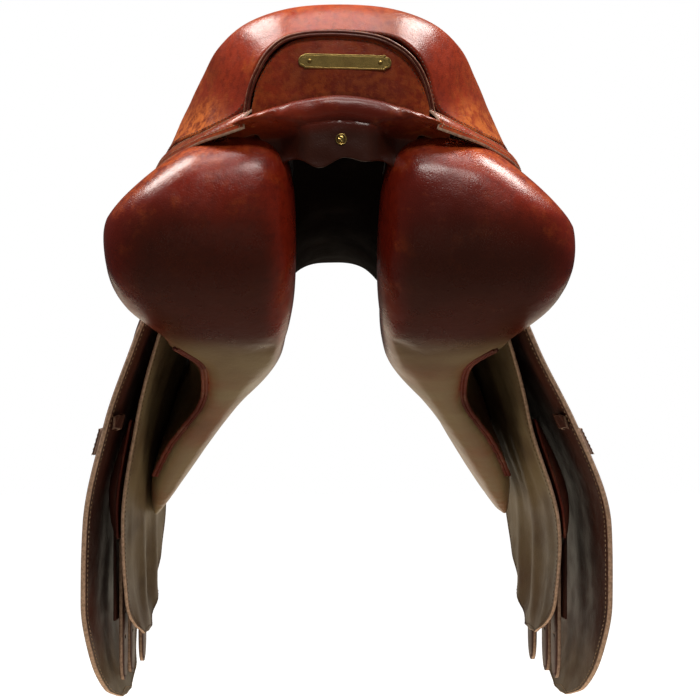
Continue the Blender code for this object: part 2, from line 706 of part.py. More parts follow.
def build_billets(word, s):
    for place_word, y in BILLET_PLACES.items():
        name = f"billet_{place_word}_{word}"
        heights = [26, 10, -10, -30, -55, -80, -105, -130, -136, -200, -240, -278, BILLET_TIP]
        # A slight bow at -240 keeps the face that a buckle lies on clear of the guard's.
        path = [(s * (billet_x(word, y, z) + (0.2 if z == -240 else 0.0)), y, z) for z in heights]
        half = BILLET_WIDTH / 2
        lean = [(side_x(y + half, z) - side_x(y - half, z)) / BILLET_WIDTH for z in heights]
        mesh = slab_along(name, path, lambda i: Vector((s * lean[i], 1, 0)).normalized(),
                          lambda i: 12.0 if i == len(heights) - 1 else BILLET_WIDTH,
                          lambda i: BILLET_LEATHER)
        place(name, mesh, BRIDLE, 0.45, 0, (s * billet_x(word, y, 20), y, 20))


def build_bar(word, s):
    """The forged stirrup bar, its hinged catch and the plate that holds it to the tree."""
    def run(name, near, far, y_from, y_to, z_from, z_to, steps=4, home=PARTS):
        sections = []
        for k in range(steps + 1):
            y = mix(y_from, y_to, k / steps)
            low_x, high_x = side_x(y, z_from), side_x(y, z_to)
            sections.append([(s * (low_x + near), y, z_from), (s * (low_x + far), y, z_from),
                             (s * (high_x + far), y, z_to), (s * (high_x + near), y, z_to)])
        return place(name, loft(name, sections), STEEL, 0.3, 1.0, home=home)

    low, high = BAR_LEVEL - BAR_HEIGHT / 2, BAR_LEVEL + BAR_HEIGHT / 2
    bar = run(f"stirrup_bar_{word}", 18.0, 26.0, BAR_FRONT, BAR_FRONT - BAR_LENGTH, low, high)
    post = run(f"bar_post_{word}", -2.2, 22.0, BAR_FRONT + 2, BAR_FRONT - 8, low - 1, high + 1,
               1, CUTTERS)
    plate = run(f"bar_plate_{word}", -4.2, -1.4, BAR_FRONT + 8, BAR_FRONT - 30, low - 6, high + 6,
                1, CUTTERS)
    combine(bar, post, "UNION")
    combine(bar, plate, "UNION")

    name = f"bar_catch_{word}"
    pivot_y = BAR_FRONT - BAR_LENGTH - 7.5
    base = side_x(pivot_y, BAR_LEVEL)
    radius = BAR_HEIGHT / 2
    outline = [(pivot_y + radius * math.cos(a), BAR_LEVEL + radius * math.sin(a))
               for a in [math.pi * (0.5 - k / 6) for k in range(7)]]
    outline += [(pivot_y - 13, BAR_LEVEL - radius + 1.5), (pivot_y - 16, BAR_LEVEL + 1.5),
                (pivot_y - 13, BAR_LEVEL + radius)]
    rings = [[(s * x, y, z) for y, z in outline] for x in (base + 17.5, base + 23.0)]
    place(name, loft(name, rings), STEEL, 0.3, 1.0, (s * base, pivot_y, BAR_LEVEL))


def build_guard(word, s):
    """A leather guard threaded on the rear pair of billets."""
    middle = (BILLET_PLACES["middle"] + BILLET_PLACES["rear"]) / 2
    reach = (BILLET_PLACES["middle"] - BILLET_PLACES["rear"]) / 2 + BILLET_WIDTH / 2
    at = [billet_x(word, y, -200) for y in (BILLET_PLACES["rear"], BILLET_PLACES["middle"])]
    slope = (at[1] - at[0]) / (BILLET_PLACES["middle"] - BILLET_PLACES["rear"])

    def slab(name, near, far, wide, low, high, home):
        sections = []
        for y in (middle - wide, middle + wide):
            base = (at[0] + at[1]) / 2 + slope * (y - middle)
            sections.append([(s * (base + near), y, low), (s * (base + far), y, low),
                             (s * (base + far), y, high), (s * (base + near), y, high)])
        return place(name, loft(name, sections), BRIDLE, 0.5, home=home)

    guard = slab(f"buckle_guard_{word}", -4.0, 5.6, reach + 5.5, -164, -146, PARTS)
    flat = slab(f"guard_flat_{word}", 3.4, 5.6, reach + 5.5, -236, -150, CUTTERS)
    passage = slab(f"guard_passage_{word}", -2.7, 3.4, reach + 2.5, -170, -140, CUTTERS)
    combine(guard, flat, "UNION")
    combine(guard, passage, "DIFFERENCE")


RING_AT = (48.0, 200.0, 126.5)


def build_ring(word, s):
    """The front D-ring on its chape, which hangs from the seat's front corner."""
    x, y, z = RING_AT
    name = f"d_ring_chape_{word}"
    rings = box((x - 3.2, y - 7, z - 4), (x + 3.2, y + 7, z + 16))
    mesh = loft(name, [[(s * p[0], p[1], p[2]) for p in ring] for ring in rings])
    chape = place(name, mesh, BRIDLE, 0.45)
    hole = turned(f"chape_hole_{word}", [(0.0, 20.0), (2.3, 20.0), (2.3, -20.0), (0.0, -20.0)],
                  (s * x, y, z), (0, 1, 0), STEEL, 0.3, 1.0, CUTTERS, 16)
    combine(chape, hole, "DIFFERENCE")
    points = [(0, 12.0, 0), (0, 13.2, -2.0)]
    points += [(0, 13.2 * math.cos(a), -6 - 13.2 * math.sin(a))
               for a in [math.pi * k / 10 for k in range(11)]]
    points += [(0, -13.2, -2.0), (0, -12.0, 0)]
    tube(f"d_ring_{word}", [(s * x + p[0], y + p[1], z + p[2]) for p in points], 1.8,
         STEEL, 0.25, 1.0, 2, True)


build_tree()
build_seat()
build_back()
build_channel()
for side_word, side_sign in SIDES:
    panel(f"panel_{side_word}", side_sign)
    build_leather(side_word, side_sign)
    build_valance(side_word, side_sign)
    build_blocks(side_word, side_sign)
    build_webs(side_word, side_sign)
    build_billets(side_word, side_sign)
    build_bar(side_word, side_sign)
    build_guard(side_word, side_sign)
    build_ring(side_word, side_sign)
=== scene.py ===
"""The looks of the English saddle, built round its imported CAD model.

+X is the right of the picture, +Y points to the pommel and +Z is up. Shapes are worked out in
millimetres and become metres when a piece is made. A side's sign s is -1 left and 1 right.
"""
import math

import bmesh
import bpy
import numpy as np
from mathutils import Matrix, Vector, noise
from mathutils.bvhtree import BVHTree


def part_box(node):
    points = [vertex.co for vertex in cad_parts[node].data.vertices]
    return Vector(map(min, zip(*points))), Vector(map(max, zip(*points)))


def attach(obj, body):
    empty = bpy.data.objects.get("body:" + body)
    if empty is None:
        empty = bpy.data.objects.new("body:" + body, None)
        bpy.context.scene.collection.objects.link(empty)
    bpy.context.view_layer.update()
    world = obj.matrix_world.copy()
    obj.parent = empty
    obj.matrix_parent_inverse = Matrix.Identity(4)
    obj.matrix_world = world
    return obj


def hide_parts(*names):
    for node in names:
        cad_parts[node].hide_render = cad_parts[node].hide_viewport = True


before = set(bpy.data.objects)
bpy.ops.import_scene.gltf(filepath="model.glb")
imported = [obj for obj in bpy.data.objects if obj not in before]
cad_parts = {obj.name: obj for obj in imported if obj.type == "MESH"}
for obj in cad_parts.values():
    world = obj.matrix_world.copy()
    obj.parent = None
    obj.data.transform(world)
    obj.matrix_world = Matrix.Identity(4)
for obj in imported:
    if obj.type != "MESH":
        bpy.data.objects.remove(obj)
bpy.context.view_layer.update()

MM = 0.001
SIDES = (("left", -1.0), ("right", 1.0))

# ------------------------------------------------------------------ camera, light, floor
# The camera stands behind the cantle; the distance is from the plane of its rear face, in metres.
DISTANCE = 1.3
YAW = math.radians(-1.4)
REAR_PLANE = -0.24
LENS = 90.6
SHIFT = 11 / 700
WARM = (1, 0.87, 0.67)
SOFT_WHITE = (1, 0.95, 0.9)
FLOOR_HEIGHT = -0.62


def build_camera():
    data = bpy.data.cameras.new("camera")
    data.lens, data.sensor_width, data.shift_x = LENS, 36.0, SHIFT
    camera = bpy.data.objects.new("camera", data)
    camera.location = (DISTANCE * math.sin(YAW), REAR_PLANE - DISTANCE * math.cos(YAW), 0.0)
    camera.rotation_euler = (math.radians(90), 0, YAW)
    bpy.context.scene.collection.objects.link(camera)
    bpy.context.scene.camera = camera


def area_light(name, place, aim, size, power, colour=(1, 1, 1)):
    """A soft box at a place, turned to its aim, that the camera doesn't see."""
    data = bpy.data.lights.new(name, "AREA")
    data.shape, data.size, data.size_y = "RECTANGLE", size[0], size[1]
    data.energy, data.color = power, colour
    light = bpy.data.objects.new(name, data)
    light.location = place
    light.rotation_euler = (Vector(aim) - Vector(place)).to_track_quat("-Z", "Y").to_euler()
    light.visible_camera = False
    bpy.context.scene.collection.objects.link(light)
    return light


def build_studio():
    """White to the camera, dim to the saddle: the soft boxes light it, the two low ones from below."""
    bpy.context.scene.view_settings.view_transform = "Standard"
    world = bpy.data.worlds.new("studio")
    bpy.context.scene.world = world
    world.use_nodes = True
    tree = world.node_tree
    tree.nodes.clear()
    output = tree.nodes.new("ShaderNodeOutputWorld")
    seen, lit = (tree.nodes.new("ShaderNodeBackground") for _ in range(2))
    seen.inputs[0].default_value = (1, 1, 1, 1)
    lit.inputs[0].default_value = (1.0, 0.97, 0.92, 1)
    lit.inputs[1].default_value = 0.06
    path, blend = tree.nodes.new("ShaderNodeLightPath"), tree.nodes.new("ShaderNodeMixShader")
    tree.links.new(path.outputs["Is Camera Ray"], blend.inputs[0])
    tree.links.new(lit.outputs[0], blend.inputs[1])
    tree.links.new(seen.outputs[0], blend.inputs[2])
    tree.links.new(blend.outputs[0], output.inputs[0])

    area_light("overhead", (0.0, -0.45, 1.5), (0, -0.12, 0.1), (0.9, 0.4), 7.5)
    area_light("left_box", (-0.8, -0.1, 1.25), (0, -0.15, 0.1), (0.45, 0.5), 17, SOFT_WHITE)
    area_light("right_box", (0.8, -0.1, 1.25), (0, -0.15, 0.1), (0.45, 0.5), 17, SOFT_WHITE)
    area_light("rear_key", (0.15, -1.5, 1.55), (0, -0.2, 0.15), (0.7, 0.35), 14, SOFT_WHITE)
    table = area_light("light_table", (0, 0.12, -0.6), (0, 0.10, 0), (1.5, 0.8), 6.5, WARM)
    fill = area_light("low_fill", (0, -1.3, -0.5), (0, 0, -0.12), (1.0, 0.25), 2.4, WARM)
    table.visible_glossy = fill.visible_glossy = False
    area_light("sweep", (0, 2.0, -0.75), (0, 0, -0.1), (2.4, 1.2), 6.5, WARM)

    bpy.ops.mesh.primitive_grid_add(x_subdivisions=8, y_subdivisions=8, size=12)
    floor = bpy.context.object
    floor.name = "floor"
    floor.location = (0, 0, FLOOR_HEIGHT)
    floor.visible_diffuse = floor.visible_glossy = False
    pale = bpy.data.materials.new("floor")
    pale.use_nodes = True
    shader = pale.node_tree.nodes["Principled BSDF"]
    shader.inputs["Base Color"].default_value = (0.6, 0.6, 0.6, 1)
    shader.inputs["Roughness"].default_value = 0.9
    shader.inputs["Emission Color"].default_value = (1, 1, 1, 1)
    shader.inputs["Emission Strength"].default_value = 1.0
    floor.data.materials.append(pale)


# ------------------------------------------------------------------ materials
def nodes_of(name):
    """A new material, its node tree and its shader."""
    made = bpy.data.materials.new(name)
    made.use_nodes = True
    tree = made.node_tree
    return made, tree, tree.nodes["Principled BSDF"]


class Painter:
    """Adds nodes to one material with few words."""

    def __init__(self, tree):
        self.tree = tree
        self.place = tree.nodes.new("ShaderNodeTexCoord").outputs["Object"]

    def link(self, a, b):
        self.tree.links.new(a, b)

    def noise(self, scale, detail=3.0, rough=0.5, stretch=None):
        node = self.tree.nodes.new("ShaderNodeTexNoise")
        node.inputs["Scale"].default_value = scale
        node.inputs["Detail"].default_value = detail
        node.inputs["Roughness"].default_value = rough
        place = self.place
        if stretch:
            mapping = self.tree.nodes.new("ShaderNodeMapping")
            mapping.inputs["Scale"].default_value = stretch
            self.link(place, mapping.inputs[0])
            place = mapping.outputs[0]
        self.link(place, node.inputs["Vector"])
        return node.outputs["Fac"]

    def cells(self, scale, feature="F1"):
        node = self.tree.nodes.new("ShaderNodeTexVoronoi")
        node.feature = feature
        node.inputs["Scale"].default_value = scale
        self.link(self.place, node.inputs["Vector"])
        return node.outputs["Distance"]

    def ramp(self, value, low, high, to_low=0.0, to_high=1.0):
        node = self.tree.nodes.new("ShaderNodeMapRange")
        node.interpolation_type = "SMOOTHSTEP"
        for socket, amount in zip(node.inputs[1:5], (low, high, to_low, to_high)):
            socket.default_value = amount
        self.link(value, node.inputs[0])
        return node.outputs[0]

    def maths(self, operation, a, b):
        node = self.tree.nodes.new("ShaderNodeMath")
        node.operation = operation
        for socket, value in zip(node.inputs, (a, b)):
            if isinstance(value, float):
                socket.default_value = value
            else:
                self.link(value, socket)
        return node.outputs[0]

    def mix(self, share, a, b):
        node = self.tree.nodes.new("ShaderNodeMix")
        node.data_type = "RGBA"
        self.link(share, node.inputs[0])
        for socket, value in ((node.inputs[6], a), (node.inputs[7], b)):
            if isinstance(value, tuple):
                socket.default_value = (*value, 1.0)
            else:
                self.link(value, socket)
        return node.outputs[2]

    def attribute(self, name):
        node = self.tree.nodes.new("ShaderNodeAttribute")
        node.attribute_name = name
        return node.outputs["Fac"]

    def bump(self, height, distance, strength=1.0, before=None):
        node = self.tree.nodes.new("ShaderNodeBump")
        node.inputs["Distance"].default_value = distance
        node.inputs["Strength"].default_value = strength
        self.link(height, node.inputs["Height"])
        if before is not None:
            self.link(before, node.inputs["Normal"])
        return node.outputs[0]


RAW_EDGE = (0.60, 0.40, 0.29)
# The colour of the painted shade, which its mark mixes in.
PAINTED_SHADE_COLOUR = (0.036, 0.0105, 0.006)
# The khaki of the painted reflection: the sheen of the bright backdrop on undersides and inner faces.
PAINTED_SHEEN_COLOUR = (0.225, 0.166, 0.092)


def leather(name, base, deep, wear_and_painted_light, gloss, coat, grain=0.3):
    """Dyed leather: mottled dye and pores, and what the mesh's marks say, each from 0 to 1:
    wear (rubbed to a lighter tone; on the panels' tops and the welts partly a painted highlight),
    painted shade (darker), painted reflection (khaki, the sheen of the bright backdrop), edge (raw).
    """
    made, tree, shader = nodes_of(name)
    paint = Painter(tree)
    broad = paint.ramp(paint.noise(9.0, 3), 0.38, 0.64)
    colour = paint.mix(broad, base, deep)
    fleck = paint.ramp(paint.noise(170.0, 5, 0.65), 0.42, 0.68, 0.0, 0.55)
    colour = paint.mix(fleck, colour, deep)
    mottle = paint.ramp(paint.noise(130.0, 6, 0.75), 0.38, 0.60, 0.1, 1.0)
    rubbed = paint.ramp(paint.noise(42.0, 6, 0.72), 0.52, 0.72, 0.0, 0.30)
    colour = paint.mix(rubbed, colour, wear_and_painted_light)
    # The wear mark lightens: rubbed wear, and on the panels' tops and the welts partly a painted
    # highlight.
    colour = paint.mix(paint.maths("MULTIPLY", paint.attribute("wear_and_painted_light"), mottle), colour, wear_and_painted_light)
    # Painted shade: darker where its mark says, for shade that the lamps don't give.
    colour = paint.mix(paint.attribute("painted_shade"), colour, PAINTED_SHADE_COLOUR)
    # Painted reflection: the khaki sheen of the bright backdrop, streaked by noise, where its mark says.
    painted_sheen = paint.maths("MULTIPLY", paint.attribute("painted_sheen"),
                        paint.ramp(paint.noise(12.0, 3, stretch=(1, 1, 2.5)), 0.25, 0.65, 0.5, 1.0))
    colour = paint.mix(painted_sheen, colour, PAINTED_SHEEN_COLOUR)
    fibre = paint.ramp(paint.noise(420.0, 3), 0.3, 0.7)
    raw = paint.mix(fibre, RAW_EDGE, tuple(0.6 * c for c in RAW_EDGE))
    colour = paint.mix(paint.attribute("edge"), colour, raw)
    paint.link(colour, shader.inputs["Base Color"])
    rough = paint.ramp(paint.noise(48.0, 4), 0.3, 0.7, gloss - 0.05, gloss + 0.08)
    rough = paint.maths("ADD", rough, paint.maths("MULTIPLY", paint.attribute("edge"), 0.4))
    rough = paint.maths("ADD", rough, paint.maths("MULTIPLY", paint.attribute("painted_sheen"), 0.06))
    paint.link(rough, shader.inputs["Roughness"])
    pores = paint.bump(paint.ramp(paint.cells(700.0), 0.0, 0.55), 0.00025, grain)
    creases = paint.bump(paint.noise(260.0, 5, 0.65), 0.0006, grain, pores)
    paint.link(paint.bump(paint.noise(30.0, 3, 0.55), 0.0032, grain, creases), shader.inputs["Normal"])
    shader.inputs["Specular IOR Level"].default_value = 0.34 if coat else 0.05
    shader.inputs["Coat Weight"].default_value = coat
    shader.inputs["Coat Roughness"].default_value = 0.2
    return made


def metal(name, colour, dull, gloss, scratch, tarnish=0.35):
    """Metal with dull patches and fine scratches, drawn out along the axis that scratch is large in."""
    made, tree, shader = nodes_of(name)
    paint = Painter(tree)
    patches = paint.ramp(paint.noise(130.0, 4), 0.42, 0.7, 0.0, tarnish)
    paint.link(paint.mix(patches, colour, dull), shader.inputs["Base Color"])
    paint.link(paint.ramp(paint.noise(900.0, 3, stretch=scratch), 0.3, 0.7, gloss - 0.06, gloss + 0.12),
               shader.inputs["Roughness"])
    lines = paint.noise(1400.0, 2, stretch=scratch)
    paint.link(paint.bump(lines, 0.00006, 0.4), shader.inputs["Normal"])
    shader.inputs["Metallic"].default_value = 1.0
    return made


def plain(name, light, dark, scale, rough, stretch=None, depth=0.0005):
    """Wood, foam, webbing and thread: two tones of one stretched noise, with its relief."""
    made, tree, shader = nodes_of(name)
    paint = Painter(tree)
    tone = paint.noise(scale, 5, 0.6, stretch)
    paint.link(paint.mix(paint.ramp(tone, 0.3, 0.7), light, dark), shader.inputs["Base Color"])
    paint.link(paint.ramp(tone, 0.3, 0.7, rough - 0.08, rough + 0.08), shader.inputs["Roughness"])
    paint.link(paint.bump(tone, depth, 0.5), shader.inputs["Normal"])
    return made


def woven(name, light, dark):
    """Webbing: two crossed waves."""
    made, tree, shader = nodes_of(name)
    paint = Painter(tree)
    waves = []
    for direction in ("Y", "Z"):
        wave = tree.nodes.new("ShaderNodeTexWave")
        wave.bands_direction = direction
        wave.inputs["Scale"].default_value = 160.0
        wave.inputs["Distortion"].default_value = 0.6
        paint.link(paint.place, wave.inputs["Vector"])
        waves.append(wave.outputs["Fac"])
    weave = paint.maths("MULTIPLY", *waves)
    paint.link(paint.mix(weave, dark, light), shader.inputs["Base Color"])
    paint.link(paint.bump(weave, 0.0005, 0.6), shader.inputs["Normal"])
    paint.link(paint.ramp(weave, 0.0, 1.0, 0.95, 0.8), shader.inputs["Roughness"])
    return made


# OXBLOOD and PANEL_SKIN are a lit and a shaded copy of one oxblood leather: painted light on the seat and
# cantle back, painted shade on the panels.
OXBLOOD = leather("oxblood_leather", (0.34, 0.036, 0.012), (0.135, 0.013, 0.006), (0.62, 0.155, 0.032),
                  gloss=0.31, coat=0.2)
PANEL_SKIN = leather("panel_leather", (0.27, 0.020, 0.007), (0.13, 0.0095, 0.005), (0.60, 0.11, 0.02),
                     gloss=0.29, coat=0.25)
BRIDLE = leather("bridle_leather", (0.068, 0.019, 0.012), (0.032, 0.010, 0.007), (0.13, 0.045, 0.024),
                 gloss=0.44, coat=0.08)
WELTING = leather("welt_leather", (0.16, 0.030, 0.018), (0.07, 0.014, 0.010), (0.46, 0.24, 0.14),
                  gloss=0.42, coat=0.15)
# The lining is near black as painted shade, keeping the channel dark under the light from below.
LINING_IN_PAINTED_SHADE = leather("lining_in_painted_shade", (0.003, 0.0014, 0.0011), (0.0016, 0.0008, 0.0007), (0.01, 0.005, 0.003),
                 gloss=0.85, coat=0.0)
THREAD = plain("thread", (0.50, 0.37, 0.24), (0.28, 0.18, 0.11), 1500.0, 0.75, depth=0.0001)
DARK_THREAD = plain("dark_thread", (0.16, 0.075, 0.045), (0.06, 0.03, 0.02), 1500.0, 0.7, depth=0.0001)
BRASS = metal("brass", (0.66, 0.46, 0.15), (0.30, 0.19, 0.07), 0.3, (1, 1, 14))
STEEL = metal("steel", (0.52, 0.51, 0.5), (0.3, 0.29, 0.28), 0.3, (1, 12, 1))
WOOD = plain("beech", (0.56, 0.38, 0.2), (0.33, 0.2, 0.1), 30.0, 0.6, (1, 0.12, 4))
FOAM = plain("foam", (0.78, 0.72, 0.55), (0.62, 0.55, 0.4), 500.0, 0.9)
WEB = woven("webbing", (0.72, 0.66, 0.52), (0.42, 0.36, 0.26))


# ------------------------------------------------------------------ curves and meshes
def smoothstep(low, high, value):
    t = min(1.0, max(0.0, (value - low) / (high - low)))
    return t * t * (3.0 - 2.0 * t)


def mix(a, b, t):
    return a + (b - a) * t


def eased(table, value):
    """A monotone cubic through (place, amount) pairs in rising order of place."""
    if value <= table[0][0]:
        return table[0][1]
    if value >= table[-1][0]:
        return table[-1][1]
    slopes = [(b[1] - a[1]) / (b[0] - a[0]) for a, b in zip(table, table[1:])]
    tangents = [slopes[0]]
    for left, right in zip(slopes, slopes[1:]):
        tangents.append(2 * left * right / (left + right) if left * right > 0 else 0.0)
    tangents.append(slopes[-1])
    for i, (a, b) in enumerate(zip(table, table[1:])):
        if value <= b[0]:
            width = b[0] - a[0]
            t = (value - a[0]) / width
            return (a[1] * (2 * t**3 - 3 * t**2 + 1) + tangents[i] * width * (t**3 - 2 * t**2 + t)
                    + b[1] * (3 * t**2 - 2 * t**3) + tangents[i + 1] * width * (t**3 - t**2))
    return table[-1][1]


def catmull(points, t, closed=False):
    """The point at t (0 to 1) of a smooth curve through the points."""
    count = len(points)
    place = t * (count if closed else count - 1)
    i = int(place) if closed else min(int(place), count - 2)
    u = place - i
    if closed:
        a, b, c, d = (Vector(points[(i + k) % count]) for k in (-1, 0, 1, 2))
    else:
        a, b, c, d = (Vector(points[min(max(i + k, 0), count - 1)]) for k in (-1, 0, 1, 2))
    return 0.5 * ((2 * b) + (c - a) * u + (2 * a - 5 * b + 4 * c - d) * u**2
                  + (3 * b - 3 * c + d - a) * u**3)


def piece(name, points, faces, skin, body, stands_for=(), marks=None, sharp=60):
    """A mesh piece from points in millimetres, riding on a body."""
    mesh = bpy.data.meshes.new(name)
    mesh.from_pydata([tuple(float(c) * MM for c in p) for p in points], [], faces)
    for mark, values in (marks or {}).items():
        layer = mesh.attributes.new(mark, "FLOAT", "POINT")
        layer.data.foreach_set("value", np.asarray(values, np.float32))
    work = bmesh.new()
    work.from_mesh(mesh)
    bmesh.ops.recalc_face_normals(work, faces=work.faces)
    work.to_mesh(mesh)
    work.free()
    mesh.materials.append(skin)
    made = bpy.data.objects.new(name, mesh)
    bpy.context.scene.collection.objects.link(made)
    finish_piece(made, body, stands_for, sharp)
    return made


def finish_piece(made, body, stands_for=(), sharp=60):
    """Shades a piece, sets the body it rides and the CAD nodes it stands for."""
    made.data.shade_smooth()
    made.data.set_sharp_from_angle(angle=math.radians(sharp))
    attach(made, body)
    if stands_for:
        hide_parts(*stands_for)


def settle(made):
    """Applies every modifier of a piece."""
    graph = bpy.context.evaluated_depsgraph_get()
    mesh = bpy.data.meshes.new_from_object(made.evaluated_get(graph), depsgraph=graph)
    made.modifiers.clear()
    made.data = mesh


def mark(made, name, rule):
    """A point mark from rule(position in mm, normal)."""
    mesh = made.data
    layer = mesh.attributes.get(name) or mesh.attributes.new(name, "FLOAT", "POINT")
    values = [rule(v.co / MM, v.normal) for v in mesh.vertices]
    layer.data.foreach_set("value", np.asarray(values, np.float32))


def loft_faces(count, size, closed=False, caps=True):
    """Faces between rings of one size, with a cap on each end unless the rings close up."""
    faces = []
    for i in range(count if closed else count - 1):
        here, there = i * size, ((i + 1) % count) * size
        faces += [(here + j, here + (j + 1) % size, there + (j + 1) % size, there + j)
                  for j in range(size)]
    if caps and not closed:
        faces.append(tuple(range(size)))
        faces.append(tuple((count - 1) * size + j for j in reversed(range(size))))
    return faces


def fine(count, edge=0.004):
    """Even steps from 0 to 1 with a narrow one at each end."""
    return [0.0, edge] + [mix(edge, 1 - edge, k / count) for k in range(1, count)] + [1 - edge, 1.0]


class Sheet:
    """A sheet of leather: a grid thickened outwards, with rounded raw edges."""

    def __init__(self, surface, rows, columns):
        """surface(t, v) gives the inner point and the thickness vector there."""
        self.shape = (len(rows), len(columns))
        pairs = [[surface(t, v) for v in columns] for t in rows]
        self.inner = [Vector(p) for row in pairs for p, _ in row]
        self.outer = [Vector(p) + Vector(w) for row in pairs for p, w in row]
        height, width = self.shape
        cell = lambda i, j: i * width + j
        self.loop = [(0, j) for j in range(width)]
        self.loop += [(i, width - 1) for i in range(1, height)]
        self.loop += [(height - 1, j) for j in reversed(range(width - 1))]
        self.loop += [(i, 0) for i in reversed(range(1, height - 1))]
        self.away = []
        for i, j in self.loop:
            back = (min(max(i, 1), height - 2), min(max(j, 1), width - 2))
            out = self.outer[cell(i, j)] - self.outer[cell(*back)]
            self.away.append(out.normalized())

        points = self.inner + self.outer
        here, faces = len(self.inner), []
        for i in range(height - 1):
            for j in range(width - 1):
                a = cell(i, j)
                quad = (a, a + 1, a + width + 1, a + width)
                faces += [quad, tuple(here + k for k in reversed(quad))]
        first = [cell(i, j) for i, j in self.loop]
        rings, edge = [first], [0.0] * len(points)
        for turn in (45, 90, 135):
            ring = []
            for k, out in zip(first, self.away):
                half = (self.outer[k] - self.inner[k]) / 2
                angle = math.radians(turn)
                ring.append(len(points))
                points.append(self.inner[k] + half * (1 - math.cos(angle))
                              + out * half.length * 0.8 * math.sin(angle))
                edge.append(1.0)
            rings.append(ring)
        rings.append([here + k for k in first])
        for low, high in zip(rings, rings[1:]):
            for k in range(len(first)):
                m = (k + 1) % len(first)
                faces.append((low[m], low[k], high[k], high[m]))
        self.points, self.faces, self.edge = points, faces, edge

    def edge_path(self, inset, keep=lambda i, j: True, outside=True):
        """The rim's line, moved inwards; only where keep(row, column) holds."""
        width = self.shape[1]
        skin = self.outer if outside else self.inner
        return [skin[i * width + j] - out * inset for (i, j), out in zip(self.loop, self.away)
                if keep(i, j)]


def even(path, pitch, closed=False):
    """The path's points at an even pitch, as (point, direction)."""
    points = [Vector(p) for p in path] + ([Vector(path[0])] if closed else [])
    lengths = [0.0]
    for a, b in zip(points, points[1:]):
        lengths.append(lengths[-1] + (b - a).length)
    count = max(2, int(lengths[-1] / pitch))
    found, i = [], 0
    for k in range(count + (0 if closed else 1)):
        want = lengths[-1] * k / count
        while i < len(points) - 2 and lengths[i + 1] < want:
            i += 1
        span = max(1e-6, lengths[i + 1] - lengths[i])
        found.append((points[i].lerp(points[i + 1], min(1, (want - lengths[i]) / span)),
                      (points[i + 1] - points[i]).normalized()))
    return found


def tree_of(made):
    """A search tree of a piece's surface, in millimetres."""
    mesh = made.data
    return BVHTree.FromPolygons([v.co / MM for v in mesh.vertices],
                                [tuple(p.vertices) for p in mesh.polygons])


# A stitch's rings: (place along it, share of its radius, lift off the leather in mm).
STITCH_RINGS = ((-0.5, 0.45, -0.05), (-0.25, 1, 0.12), (0.25, 1, 0.12), (0.5, 0.45, -0.05))


def stitch_row(name, path, on, skin, body, pitch=3.6, length=2.5, radius=0.32):
    """A row of thread stitches laid on the surface of a piece."""
    surface = tree_of(on)
    points, faces = [], []
    for point, ahead in even(path, pitch):
        place, normal, _, _ = surface.find_nearest(point)
        if place is None or (place - point).length > 12:
            continue
        side = normal.cross(ahead).normalized()
        start = len(points)
        for along, size, lift in STITCH_RINGS:
            for k in range(6):
                turn = math.pi * k / 3
                points.append(place + ahead * along * length + normal * lift
                              + (side * math.cos(turn) + normal * math.sin(turn)) * radius * size)
        faces += [tuple(start + f for f in face) for face in loft_faces(len(STITCH_RINGS), 6)]
    piece(name, points, faces, skin, body)


def tube(path, radius, sides=10, closed=False):
    """Points and faces of a round cord along a path."""
    stations = even(path, max(1.5, radius), closed)
    points, up = [], Vector((0.13, 0.31, 0.94))
    for point, ahead in stations:
        side = up.cross(ahead).normalized()
        up = ahead.cross(side).normalized()
        for k in range(sides):
            turn = 2 * math.pi * k / sides
            points.append(point + side * math.cos(turn) * radius
                          + up * math.sin(turn) * radius)
    return points, loft_faces(len(stations), sides, closed)


def on_surface(path, made, lift=0.0):
    """The path's points moved onto the nearest of a piece's surface, and then off it by the lift."""
    surface = tree_of(made)
    found = []
    for point in path:
        place, normal, _, _ = surface.find_nearest(Vector(point))
        found.append(place + normal * lift)
    return found


def refined(node, name, width, skin, body, segments=2):
    """A CAD node's own shape with its edges eased over."""
    made = bpy.data.objects.new(name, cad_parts[node].data.copy())
    bpy.context.scene.collection.objects.link(made)
    work = bmesh.new()
    work.from_mesh(made.data)
    bmesh.ops.remove_doubles(work, verts=work.verts, dist=0.00002)
    bmesh.ops.dissolve_limit(work, angle_limit=math.radians(2), verts=work.verts, edges=work.edges)
    work.to_mesh(made.data)
    work.free()
    bevel = made.modifiers.new("ease", "BEVEL")
    bevel.width, bevel.segments, bevel.limit_method = width * MM, segments, "ANGLE"
    bevel.angle_limit = math.radians(32)
    settle(made)
    made.data.materials.clear()
    made.data.materials.append(skin)
    finish_piece(made, body, [node], 50)
    return made


# ------------------------------------------------------------------ the seat
# CREST is the half outline of the seat's rim and HEM that of its lower edge, rear to pommel.
SEAT_LOW = Vector((0.0, 5.0, 158.0))
CREST = [
    (0, -216, 260), (40, -213, 257.5), (74, -203, 248), (97, -187, 232), (110, -168, 214),
    (120, -144, 198), (128, -112, 183), (126, -70, 163), (113, -26, 147), (98, 30, 140),
    (84, 84, 148), (72, 132, 166), (56, 174, 189), (30, 200, 205), (0, 209, 210),
]
HEM = [
    (0, -238, 235.5), (37, -237, 233), (56, -235.5, 222), (67, -232, 206), (76, -225, 179),
    (108, -200, 166), (136, -158, 160), (147, -102, 143), (131, -38, 119), (110, 30, 108),
    (92, 86, 113), (78, 136, 127), (62, 184, 143), (34, 211, 150), (0, 218, 152),
]


def whole_round(half):
    """The whole outline from its half on the +X side, which starts and ends on the centre line."""
    return half + [(-x, y, z) for x, y, z in reversed(half[1:-1])]


def seat_x(x, y):
    """The rear of the seat is a little narrower than its crest, and set over to the right."""
    return mix(x, 0.962 * x + 1.8, smoothstep(-40, -140, y))


